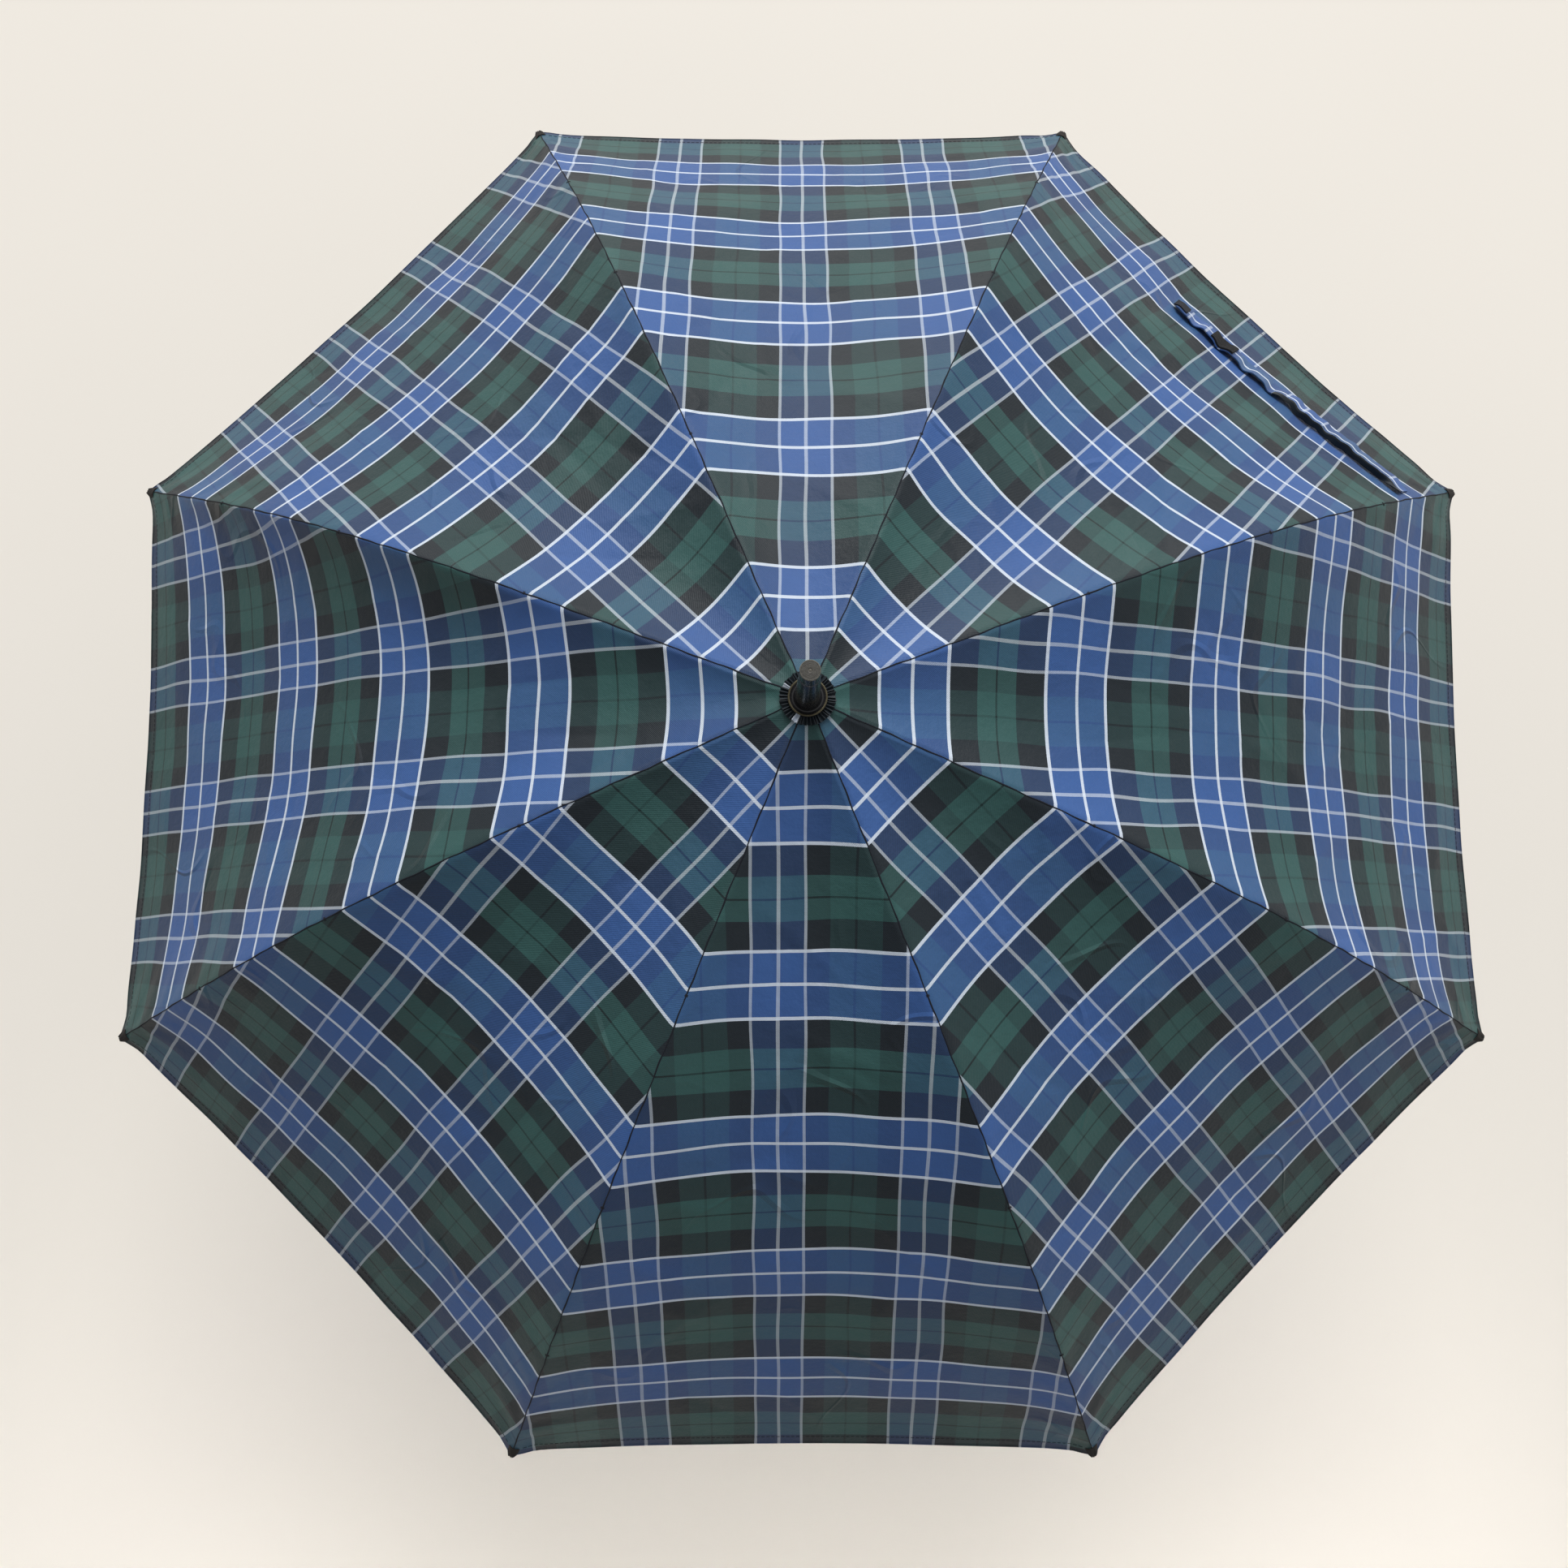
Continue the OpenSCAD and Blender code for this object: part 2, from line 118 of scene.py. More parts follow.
def on_rib(k, t, out, side):
    """A point by rib k at share t, moved out along its normal and sideways across it."""
    t, out, side = np.broadcast_arrays(np.asarray(t, float), out, side)
    slope = np.interp(t, SHARES, SLOPES)
    r = np.interp(t, SHARES, RIB_R) + out * np.sin(slope)
    z = np.interp(t, SHARES, RIB_Z) + out * np.cos(slope)
    a = rib_azimuth(k)
    return np.stack([r * math.cos(a) - side * math.sin(a), r * math.sin(a) + side * math.cos(a), z], -1)


# ---------------------------------------------------------------- the cloth's surface
# Sag that some gores have beyond the common sag
GORE_SLACK = {2: -0.004, 4: 0.0035, 5: 0.001, 8: 0.0005}
# How much steeper the cloth falls off the gore's first rib than off its second, where it does
GORE_LEAN = {8: 0.1}
# Depth of the trough that hangs beside the gore's first rib, where there is one
GORE_TROUGH = {1: 0.001, 4: 0.012, 5: 0.0015, 7: 0.001, 8: 0.003}
# The tartan's offset across each gore, towards its second rib
TARTAN_SHIFT = {1: -0.0175, 2: 0.0, 3: 0.0245, 4: 0.040, 5: 0.019, 6: -0.0165, 7: -0.0145, 8: 0.0385}
# Beyond this distance from the crown the cloth is gathered by this share, except close to the ribs at the
# hem, where its corners are pulled tight
GATHER_FROM, GATHERED = 0.245, 0.042
# Puckers beside the seams: their length, height and reach
PUCKER_LENGTH, PUCKER_HEIGHT, PUCKER_REACH = 0.027, 0.0010, 0.020
# Heights of the waves at the hem, of the slack all over, and of the creases, and how many creases a gore has
HEM_WAVE, SLACK_WAVE, CREASE_HEIGHT, CREASES = 0.0004, 0.0006, 0.0008, 20
# Waves in a random height
WAVES = 7


def waves(gore, x, y, length, seed):
    """A smooth random height from -1 to 1 or so with waves of about that length, the same every run."""
    dice = np.random.RandomState(1000 * seed + gore)
    total = np.zeros(np.broadcast(x, y).shape)
    for _ in range(WAVES):
        heading = dice.uniform(0, 2 * math.pi)
        stretch = dice.uniform(0.7, 1.4)
        phase = dice.uniform(0, 2 * math.pi)
        ahead = x * math.cos(heading) + y * math.sin(heading)
        total = total + np.sin(2 * math.pi * ahead / (length * stretch) + phase)
    return total / math.sqrt(WAVES)


def creases(gore, x, y):
    """Short straight ridges and grooves left in the cloth from its being rolled."""
    dice = np.random.RandomState(77 + gore)
    total = np.zeros(np.broadcast(x, y).shape)
    for _ in range(CREASES):
        cy = dice.uniform(0.12, 0.52)
        cx = dice.uniform(-0.32, 0.32) * cy
        heading = dice.normal(0, 0.6) + math.pi / 2 * dice.randint(0, 2)
        reach = dice.uniform(0.02, 0.06)
        along = (x - cx) * math.cos(heading) + (y - cy) * math.sin(heading)
        across = -(x - cx) * math.sin(heading) + (y - cy) * math.cos(heading)
        side = 1 if dice.uniform() < 0.6 else -1
        total = total + side * np.exp(-(along / reach) ** 2) * np.exp(-np.abs(across) / 0.005)
    return total


def ripple(gore, t, v, x, y):
    """How far the cloth stands off its smooth surface: puckers, waves at the hem, slack and creases."""
    width = gore_width(t)
    from_seam = np.minimum(v, 1 - v) * width
    side = np.where(v < 0.5, 1, 2)
    clear = ease((from_seam - 0.0012) / 0.009)
    pucker = np.zeros(np.broadcast(t, v).shape)
    for s in (1, 2):
        dice = np.random.RandomState(40 * gore + s)
        turn = dice.uniform(0, 2 * math.pi)
        wander = 1.7 * waves(gore, 0 * x, y, 0.11, seed=3 + s)
        wave = np.sin(2 * math.pi * (y + 0.5 * from_seam) / PUCKER_LENGTH + turn + wander)
        pucker = np.where(side == s, wave, pucker)
    near_hem = ease((t - 0.62) / 0.36)
    height = PUCKER_HEIGHT * (0.15 + 0.85 * near_hem) * pucker * np.exp(-from_seam / PUCKER_REACH) * clear
    height = height + HEM_WAVE * near_hem * waves(gore, x, 0.45 * y, 0.050, seed=1) * ease(from_seam / 0.03)
    height = height + SLACK_WAVE * waves(gore, x, y, 0.095, seed=2) * ease(from_seam / 0.04)
    height = height + CREASE_HEIGHT * creases(gore, x, y) * ease(from_seam / 0.012)
    height = height * (1 - 0.65 * ease((t - 0.93) / 0.045) * ease(from_seam / 0.05))
    return height


def trough(v, seat, width):
    """Shape of the trough beside the first rib: steep off the rib, then rising gently across the gore."""
    reach = np.maximum(v - seat, 0) * width
    return (1 - np.exp(-reach / 0.016)) * (1 - ease(v))


def cloth(gore, t, v, out=CLOTH_UP):
    """Points of a gore's cloth, and its place in the flat cloth: share t along the ribs, share v across."""
    t, v = np.broadcast_arrays(np.asarray(t, float), np.asarray(v, float))
    slope = np.interp(t, SHARES, SLOPES)
    r = np.interp(t, SHARES, RIB_R)
    width = gore_width(t)
    x, y = (v - 0.5) * width, np.interp(t, SHARES, FLAT_Y)
    seat = RIB_SEAT / width
    q = np.clip(np.minimum(v, 1 - v) - seat, 0, 1) / (1 - 2 * seat)
    share = 4 * q * (1 - q) * (1 + GORE_LEAN.get(gore, 0.0) * (1 - 2 * q) * np.sign(0.5 - v))
    fall = share * (CLOTH_SAG + GORE_SLACK.get(gore, 0.0)) * np.sin(math.pi * np.minimum(t / 1.1, 1))
    starts, ends = ease((t - 0.22) / 0.2), 1 - ease((t - 0.72) / 0.22)
    fall = fall + GORE_TROUGH.get(gore, 0.0) * trough(v, seat, width) * starts * ends
    lift = out - fall + ripple(gore, t, v, x, y)
    a0 = rib_azimuth(gore)
    a1 = a0 + GORE
    am = a0 + GORE * v
    points = np.stack([
        r * ((1 - v) * math.cos(a0) + v * math.cos(a1)) + lift * np.sin(slope) * np.cos(am),
        r * ((1 - v) * math.sin(a0) + v * math.sin(a1)) + lift * np.sin(slope) * np.sin(am),
        np.interp(t, SHARES, RIB_Z) + lift * np.cos(slope)], -1)
    pulled = ease((t - 0.70) / 0.25) * np.exp(-np.minimum(v, 1 - v) * width / 0.018)
    gathered = GATHERED * np.maximum(y - GATHER_FROM, 0) * (1 - 0.9 * pulled)
    stray_x = 0.0005 * waves(gore, x, y, 0.07, seed=5)
    stray_y = 0.0005 * waves(gore, x, y, 0.07, seed=6)
    return points, np.stack([x - TARTAN_SHIFT[gore] + stray_x, y + gathered + stray_y], -1)


# ---------------------------------------------------------------- mesh helpers
def make_object(name, points, faces, material, uvs=None, smooth=True):
    """A mesh object from a list of points and faces, with a UV for each point."""
    mesh = bpy.data.meshes.new(name)
    mesh.from_pydata([tuple(p) for p in points], [], [tuple(f) for f in faces])
    if uvs is not None:
        layer = mesh.uv_layers.new(name="cloth")
        loops = np.zeros(len(mesh.loops), np.int32)
        mesh.loops.foreach_get("vertex_index", loops)
        layer.data.foreach_set("uv", np.asarray(uvs, np.float32)[loops].ravel())
    if smooth:
        mesh.polygons.foreach_set("use_smooth", [True] * len(mesh.polygons))
    mesh.materials.append(material)
    mesh.update()
    obj = bpy.data.objects.new(name, mesh)
    bpy.context.scene.collection.objects.link(obj)
    return obj


def grid_faces(rows, columns, wrap=False):
    """Quads over a grid of points, wrapping round in the columns' direction where asked."""
    faces = []
    for i in range(rows - 1):
        for j in range(columns if wrap else columns - 1):
            n = (j + 1) % columns
            faces.append((i * columns + j, (i + 1) * columns + j, (i + 1) * columns + n, i * columns + n))
    return faces


def face_outwards(obj):
    """Makes all faces of a closed mesh face outwards."""
    mesh = bmesh.new()
    mesh.from_mesh(obj.data)
    bmesh.ops.recalc_face_normals(mesh, faces=mesh.faces)
    mesh.to_mesh(obj.data)
    mesh.free()


def grid_normals(points):
    """Unit normals of a grid of points, on the side its faces face."""
    normals = np.cross(np.gradient(points, axis=0), np.gradient(points, axis=1))
    return normals / np.maximum(np.linalg.norm(normals, axis=2), 1e-12)[..., None]


def sheet_object(name, points, uvs, material, thickness, normals=None):
    """A thin closed sheet with its real thickness, from a grid of points, with crisp edges."""
    rows, columns = points.shape[:2]
    if normals is None:
        normals = grid_normals(points)
    up = normals.reshape(-1, 3)
    flat = points.reshape(-1, 3)
    count = rows * columns
    top = grid_faces(rows, columns)
    under = [tuple(count + i for i in reversed(face)) for face in top]
    border = [i * columns for i in range(rows)]
    border += [(rows - 1) * columns + j for j in range(1, columns)]
    border += [i * columns + columns - 1 for i in range(rows - 2, -1, -1)]
    border += list(range(columns - 2, 0, -1))
    rim = [(b, a, a + count, b + count) for a, b in zip(border, border[1:] + border[:1])]
    corners = np.concatenate([flat + up * thickness / 2, flat - up * thickness / 2])
    obj = make_object(name, corners, top + under + rim, material, np.tile(uvs.reshape(-1, 2), (2, 1)))
    sides = [np.cross(corners[c] - corners[a], corners[d] - corners[b]) for a, b, c, d in rim]
    sides = np.array([n / max(np.linalg.norm(n), 1e-12) for n in sides])
    shading = np.concatenate([up[np.array(top).ravel()], -up[np.array(under).ravel() - count],
                              np.repeat(sides, 4, axis=0)])
    obj.data.normals_split_custom_set(shading.tolist())
    return obj


def lathe(name, outline, material, segments):
    """A solid turned round the shaft's axis from [radius, height] points."""
    mesh = bmesh.new()
    rings = []
    for radius, height in outline:
        if radius < 1e-7:
            rings.append([mesh.verts.new((0, 0, height))])
            continue
        rings.append([mesh.verts.new((radius * math.cos(2 * math.pi * i / segments),
                                      radius * math.sin(2 * math.pi * i / segments), height))
                      for i in range(segments)])
    for low, high in zip(rings[:-1], rings[1:]):
        for i in range(segments):
            n = (i + 1) % segments
            if len(low) == 1:
                mesh.faces.new((low[0], high[n], high[i]))
            elif len(high) == 1:
                mesh.faces.new((low[i], low[n], high[0]))
            else:
                mesh.faces.new((low[i], low[n], high[n], high[i]))
    bmesh.ops.recalc_face_normals(mesh, faces=mesh.faces)
    data = bpy.data.meshes.new(name)
    mesh.to_mesh(data)
    mesh.free()
    data.materials.append(material)
    data.shade_smooth()
    data.set_sharp_from_angle(angle=math.radians(35))
    obj = bpy.data.objects.new(name, data)
    bpy.context.scene.collection.objects.link(obj)
    return obj


def rounded(outline, radius):
    """The same outline with every inner corner rounded off."""
    steps = 3
    made = [outline[0]]
    for before, corner, after in zip(outline[:-2], outline[1:-1], outline[2:]):
        b, c, a = (np.array(p, float) for p in (before, corner, after))
        cut = min(radius, 0.45 * np.linalg.norm(b - c), 0.45 * np.linalg.norm(a - c))
        start = c + (b - c) / max(np.linalg.norm(b - c), 1e-9) * cut
        end = c + (a - c) / max(np.linalg.norm(a - c), 1e-9) * cut
        for i in range(steps + 1):
            s = i / steps
            made.append(tuple((1 - s) ** 2 * start + 2 * s * (1 - s) * c + s ** 2 * end))
    made.append(outline[-1])
    return made


def tube_along(name, path, radius, material, sides, normal, width=None):
    """A closed tube along a path of points, round or, with a width of its own, oval."""
    path = np.asarray(path, float)
    widths = np.broadcast_to(radius if width is None else width, len(path))
    ahead = np.gradient(path, axis=0)
    ahead /= np.linalg.norm(ahead, axis=1)[:, None]
    up = np.array(normal, float)
    points = []
    for p, d, w in zip(path, ahead, widths):
        across = np.cross(up, d)
        across /= max(np.linalg.norm(across), 1e-9)
        out = np.cross(d, across)
        for i in range(sides):
            a = 2 * math.pi * i / sides
            points.append(p + across * w * math.cos(a) + out * radius * math.sin(a))
    faces = grid_faces(len(path), sides, wrap=True)
    faces.append(tuple(range(sides)))
    faces.append(tuple(reversed(range((len(path) - 1) * sides, len(path) * sides))))
    obj = make_object(name, points, faces, material)
    face_outwards(obj)
    obj.data.set_sharp_from_angle(angle=math.radians(50))
    return obj


# ---------------------------------------------------------------- material helpers
def material(name, **values):
    """A new material with those values on its shader's sockets. Returns (material, node tree, shader)."""
    made = bpy.data.materials.new(name)
    made.use_nodes = True
    shader = made.node_tree.nodes["Principled BSDF"]
    for socket, value in values.items():
        shader.inputs[socket.replace("_", " ")].default_value = value
    return made, made.node_tree, shader


def node(tree, kind, inputs=(), **settings):
    """A new node. Its inputs are numbers, colours or other nodes' outputs."""
    made = tree.nodes.new(kind)
    for key, value in settings.items():
        setattr(made, key, value)
    for socket, value in dict(inputs).items():
        if isinstance(value, bpy.types.NodeSocket):
            tree.links.new(value, made.inputs[socket])
        else:
            made.inputs[socket].default_value = value
    return made


def calc(tree, operation, a, b=0.0):
    """The output of one sum, product or other operation."""
    return node(tree, "ShaderNodeMath", {0: a, 1: b}, operation=operation).outputs[0]


def ramp(tree, factor, stops, interpolation="LINEAR"):
    """A colour ramp from (place, colour) stops; its second output is the colours' fourth number."""
    made = node(tree, "ShaderNodeValToRGB", {"Fac": factor})
    made.color_ramp.interpolation = interpolation
    elements = made.color_ramp.elements
    while len(elements) < len(stops):
        elements.new(0.5)
    for element, (place, colour) in zip(elements, stops):
        element.position = place
        element.color = colour if len(colour) == 4 else (*colour, 1)
    return made


def mixed(tree, factor, a, b, blend="MIX"):
    """Two colours mixed by the factor. Each of the three may be another node's output."""
    made = node(tree, "ShaderNodeMix", data_type="RGBA", blend_type=blend)
    for socket, value in ((0, factor), (6, a), (7, b)):
        if isinstance(value, bpy.types.NodeSocket):
            tree.links.new(value, made.inputs[socket])
        else:
            made.inputs[socket].default_value = value if socket == 0 else (*value, 1)
    return made.outputs[2]


def noise(tree, place, scale, detail, roughness=0.55, stretch=None):
    """A 0 to 1 noise, stretched where asked."""
    if stretch is not None:
        place = node(tree, "ShaderNodeMapping", {"Vector": place, "Scale": stretch}).outputs[0]
    return node(tree, "ShaderNodeTexNoise",
                {"Vector": place, "Scale": scale, "Detail": detail, "Roughness": roughness}).outputs["Fac"]


def bump(tree, shader, height, distance, strength):
    """Fine relief on the shader's surface."""
    made = node(tree, "ShaderNodeBump", {"Height": height, "Distance": distance, "Strength": strength})
    tree.links.new(made.outputs[0], shader.inputs["Normal"])


def spread(tree, factor, low, high):
    """The factor's 0 to 1 mapped to low to high."""
    return node(tree, "ShaderNodeMapRange", {"Value": factor, "To Min": low, "To Max": high}).outputs[0]


# ---------------------------------------------------------------- materials
# The tartan's yarns, as the two systems of yarn show them
BLUE = (0.040, 0.106, 0.305)
GREEN = (0.031, 0.094, 0.089)
DARK = (0.011, 0.017, 0.023)
FINE = (0.007, 0.022, 0.022)
WHITE = (0.62, 0.69, 0.79)
# Half repeats of the tartan along the gore and across it, and a middle white line's distance from the crown
ALONG_HALF, ACROSS_HALF = 0.052, 0.04475
ALONG_FROM = 0.062
# Half width of a white line, then the distances from the middle one to the outer one and to the green, and
# half the fine dark line in the middle of the green
ALONG_STRIPES, ACROSS_STRIPES = (0.0010, 0.0207, 0.0390), (0.0009, 0.0156, 0.0300)
FINE_HALF = 0.0008


def stripes(tree, distance, half, line, outer, dark_to):
    """Yarn colour and white-line mask by the distance from the middle one of three white lines."""
    stops = [(0.0, (*WHITE, 1)), (line / half, (*BLUE, 0)), ((outer - line) / half, (*WHITE, 1)),
             ((outer + line) / half, (*DARK, 0)), (dark_to / half, (*GREEN, 0)),
             (1 - FINE_HALF / half, (*FINE, 0))]
    found = ramp(tree, calc(tree, "DIVIDE", distance, half), stops, "CONSTANT")
    return found.outputs["Color"], found.outputs["Alpha"]


def tartan_material():
    """Polyester pongee in a blue, green and black tartan with white lines."""
    made, tree, shader = material("canopy_tartan", Roughness=0.50, Sheen_Weight=0.05, Sheen_Roughness=0.45)
    shader.inputs["Specular IOR Level"].default_value = 0.30
    uv = node(tree, "ShaderNodeUVMap", uv_map="cloth").outputs[0]
    place = node(tree, "ShaderNodeSeparateXYZ", {0: uv})
    x, y = place.outputs[0], place.outputs[1]
    across = calc(tree, "PINGPONG", x, ACROSS_HALF)
    along = calc(tree, "PINGPONG", calc(tree, "SUBTRACT", y, ALONG_FROM), ALONG_HALF)
    u_colour, u_line = stripes(tree, across, ACROSS_HALF, *ACROSS_STRIPES)
    v_colour, v_line = stripes(tree, along, ALONG_HALF, *ALONG_STRIPES)
    # the weave: floats of one yarn over the other, in fine slanting rows
    rows = node(tree, "ShaderNodeTexWave", {"Vector": uv, "Scale": 560.0, "Distortion": 0.25},
                bands_direction="DIAGONAL").outputs["Fac"]
    slub = noise(tree, uv, 900.0, 2.0, 0.6, stretch=(0.08, 1.0, 1.0))
    share = calc(tree, "ADD", 0.63, calc(tree, "MULTIPLY", rows, 0.14))
    share = calc(tree, "ADD", share, calc(tree, "MULTIPLY", v_line, 0.22))
    share = calc(tree, "SUBTRACT", share, calc(tree, "MULTIPLY", u_line, 0.17))
    yarn = mixed(tree, calc(tree, "MINIMUM", share, 0.93), u_colour, v_colour)
    patches = noise(tree, uv, 22.0, 5.0, 0.6)
    shade = spread(tree, patches, 0.90, 1.10)
    shade = calc(tree, "MULTIPLY", shade, spread(tree, slub, 0.93, 1.07))
    grey = node(tree, "ShaderNodeCombineColor", {0: shade, 1: shade, 2: shade}).outputs[0]
    colour = mixed(tree, 1.0, yarn, grey, "MULTIPLY")
    tree.links.new(colour, shader.inputs["Base Color"])
    tree.links.new(spread(tree, patches, 0.44, 0.58), shader.inputs["Roughness"])
    crumple = noise(tree, uv, 30.0, 6.0, 0.68)
    # sharp fold lines: where a broad noise crosses its middle, in some patches only
    fold = calc(tree, "ABSOLUTE", calc(tree, "SUBTRACT", noise(tree, uv, 11.0, 1.0, 0.5), 0.5))
    fold = node(tree, "ShaderNodeMapRange",
                {"Value": fold, "From Max": 0.018, "To Min": 1.0, "To Max": 0.0}).outputs[0]
    some = node(tree, "ShaderNodeMapRange",
                {"Value": noise(tree, uv, 6.0, 2.0), "From Min": 0.50, "From Max": 0.62}).outputs[0]
    height = calc(tree, "ADD", calc(tree, "MULTIPLY", crumple, 0.8), calc(tree, "MULTIPLY", rows, 0.05))
    height = calc(tree, "ADD", height, calc(tree, "MULTIPLY", calc(tree, "MULTIPLY", fold, some), 0.75))
    bump(tree, shader, height, 0.0024, 0.7)
    return made


def plain_cloth_material(name, colour, rough):
    """Plain woven tape or thread in one colour, with its weave."""
    made, tree, shader = material(name, Roughness=rough, Sheen_Weight=0.03)
    shader.inputs["Specular IOR Level"].default_value = 0.2
    place = node(tree, "ShaderNodeTexCoord").outputs["Object"]
    fuzz = noise(tree, place, 1800.0, 3.0)
    broad = noise(tree, place, 60.0, 3.0)
    dark = tuple(c * 0.72 for c in colour)
    light = tuple(min(c * 1.35, 1) for c in colour)
    tree.links.new(mixed(tree, calc(tree, "MULTIPLY", calc(tree, "ADD", fuzz, broad), 0.5), dark, light),
                   shader.inputs["Base Color"])
    bump(tree, shader, fuzz, 0.0002, 0.5)
    return made


def tape_material():
    """Hook-and-loop tape: a dense field of small black loops."""
    made, tree, shader = material("hook_and_loop_tape", Roughness=0.9, Sheen_Weight=0.03)
    shader.inputs["Specular IOR Level"].default_value = 0.15
    place = node(tree, "ShaderNodeTexCoord").outputs["Object"]
    loops = node(tree, "ShaderNodeTexVoronoi", {"Vector": place, "Scale": 1600.0}).outputs["Distance"]
    colour = mixed(tree, loops, (0.028, 0.029, 0.032), (0.006, 0.006, 0.007))
    tree.links.new(colour, shader.inputs["Base Color"])
    bump(tree, shader, loops, 0.0005, 0.9)
    return made


def lacquer_material(name, colour, rough, coat=0.0):
    """Lacquered or moulded surface with faint flow marks, dust and fine scratches."""
    made, tree, shader = material(name, Roughness=rough, Coat_Weight=coat, Coat_Roughness=0.12)
    place = node(tree, "ShaderNodeTexCoord").outputs["Object"]
    broad = noise(tree, place, 45.0, 4.0)
    fine = noise(tree, place, 700.0, 3.0, 0.7)
    scratches = noise(tree, place, 120.0, 6.0, 0.75, stretch=(6.0, 6.0, 0.4))
    light = tuple(min(c * 1.6 + 0.004, 1) for c in colour)
    tree.links.new(mixed(tree, broad, colour, light), shader.inputs["Base Color"])
    worn = calc(tree, "ADD", calc(tree, "MULTIPLY", scratches, 0.6), calc(tree, "MULTIPLY", fine, 0.4))
    tree.links.new(spread(tree, worn, rough * 0.65, min(rough * 1.45, 1)), shader.inputs["Roughness"])
    bump(tree, shader, fine, 0.00012, 0.35)
    return made


def metal_material(name, colour, rough, brushed=(1.0, 1.0, 12.0)):
    """Bare metal with fine brushing along one direction and darker spots of handling."""
    made, tree, shader = material(name, Roughness=rough, Metallic=1.0)
    place = node(tree, "ShaderNodeTexCoord").outputs["Object"]
    lines = noise(tree, place, 300.0, 5.0, 0.7, stretch=brushed)
    spots = noise(tree, place, 90.0, 5.0, 0.6)
    dark = tuple(c * 0.62 for c in colour)
    light = tuple(min(c * 1.2, 1) for c in colour)
    tree.links.new(mixed(tree, spots, dark, light), shader.inputs["Base Color"])
    tree.links.new(spread(tree, lines, rough * 0.6, min(rough * 1.5, 1)), shader.inputs["Roughness"])
    bump(tree, shader, lines, 0.00006, 0.4)
    return made


def wood_material():
    """Dark stained wood under lacquer, its grain along the handle."""
    made, tree, shader = material("handle_wood", Roughness=0.32, Coat_Weight=0.6, Coat_Roughness=0.10)
    uv = node(tree, "ShaderNodeUVMap", uv_map="cloth").outputs[0]
    grain = noise(tree, uv, 26.0, 8.0, 0.62, stretch=(9.0, 0.55, 1.0))
    pores = noise(tree, uv, 150.0, 4.0, 0.6, stretch=(9.0, 0.35, 1.0))
    bands = ramp(tree, grain, [(0.28, (0.020, 0.009, 0.005)), (0.48, (0.062, 0.026, 0.012)),
                               (0.62, (0.105, 0.047, 0.021)), (0.80, (0.046, 0.019, 0.009))])
    holes = ramp(tree, pores, [(0.36, (0.010, 0.005, 0.003)), (0.46, (1, 1, 1))])
    colour = mixed(tree, 1.0, bands.outputs[0], holes.outputs[0], "MULTIPLY")
    tree.links.new(colour, shader.inputs["Base Color"])
    tree.links.new(spread(tree, grain, 0.24, 0.42), shader.inputs["Roughness"])
    bump(tree, shader, pores, 0.0002, 0.35)
    return made


def scuffed_and_highlight_material():
    """The ferrule's worn end: grey-brown plastic turned in fine rings, paler in its middle, with a painted
    highlight round its rim.
    """
    made, tree, shader = material("worn_tip", Roughness=0.55)
    place = node(tree, "ShaderNodeTexCoord").outputs["Object"]
    flat = node(tree, "ShaderNodeVectorMath", {0: place, 1: (1, 1, 0)}, operation="MULTIPLY").outputs[0]
    distance = node(tree, "ShaderNodeVectorMath", {0: flat}, operation="LENGTH").outputs[1]
    rings = calc(tree, "SINE", calc(tree, "MULTIPLY", distance, 9000.0))
    dirt = noise(tree, place, 650.0, 6.0, 0.7)
    rough = noise(tree, place, 2600.0, 4.0, 0.7)
    base = ramp(tree, dirt, [(0.30, (0.026, 0.024, 0.020)), (0.55, (0.052, 0.049, 0.041)),
                             (0.75, (0.095, 0.090, 0.078))])
    middle = calc(tree, "MULTIPLY", distance, 170.0)
    # paler in the middle for the moulding mark, and a painted highlight in a ring round the rim
    mark_and_rim_highlight = ramp(tree, middle, [(0.0, (2.6, 2.5, 2.3)), (0.10, (1.4, 1.36, 1.3)), (0.22, (1, 1, 1)),
                               (0.86, (1, 1, 1)), (0.93, (2.6, 2.6, 2.5))])
    colour = mixed(tree, 1.0, base.outputs[0], mark_and_rim_highlight.outputs[0], "MULTIPLY")
    tree.links.new(colour, shader.inputs["Base Color"])
    height = calc(tree, "ADD", calc(tree, "MULTIPLY", rings, 0.12), rough)
    bump(tree, shader, height, 0.00025, 0.7)
    return made


def floor_material():
    """A plain pale matt floor."""
    made, tree, shader = material("pale_floor", Roughness=0.75)
    place = node(tree, "ShaderNodeTexCoord").outputs["Object"]
    broad = noise(tree, place, 1.3, 3.0)
    colour = mixed(tree, broad, (0.82, 0.775, 0.705), (0.86, 0.815, 0.745))
    tree.links.new(colour, shader.inputs["Base Color"])
    return made


TARTAN = tartan_material()
SEAM = plain_cloth_material("seam_cloth", (0.010, 0.012, 0.018), 0.8)
HEM = plain_cloth_material("hem_cloth", (0.016, 0.013, 0.012), 0.8)
THREAD = plain_cloth_material("black_thread", (0.014, 0.014, 0.016), 0.6)
TAPE = tape_material()
GLOSS = lacquer_material("ferrule_gloss", (0.006, 0.006, 0.007), 0.26, coat=0.2)
BLACK_LACQUER = lacquer_material("black_lacquer", (0.012, 0.012, 0.014), 0.34, coat=0.3)
SATIN_PLASTIC = lacquer_material("satin_plastic", (0.014, 0.014, 0.016), 0.42)
BRONZE = metal_material("dark_bronze", (0.30, 0.26, 0.21), 0.28, brushed=(1.0, 1.0, 1.0))
STEEL = metal_material("bright_steel", (0.60, 0.60, 0.61), 0.26)
RIM_METAL = metal_material("rim_bronze", (0.13, 0.115, 0.075), 0.38, brushed=(1.0, 1.0, 1.0))
WOOD = wood_material()
SCUFFED_AND_HIGHLIGHT = scuffed_and_highlight_material()


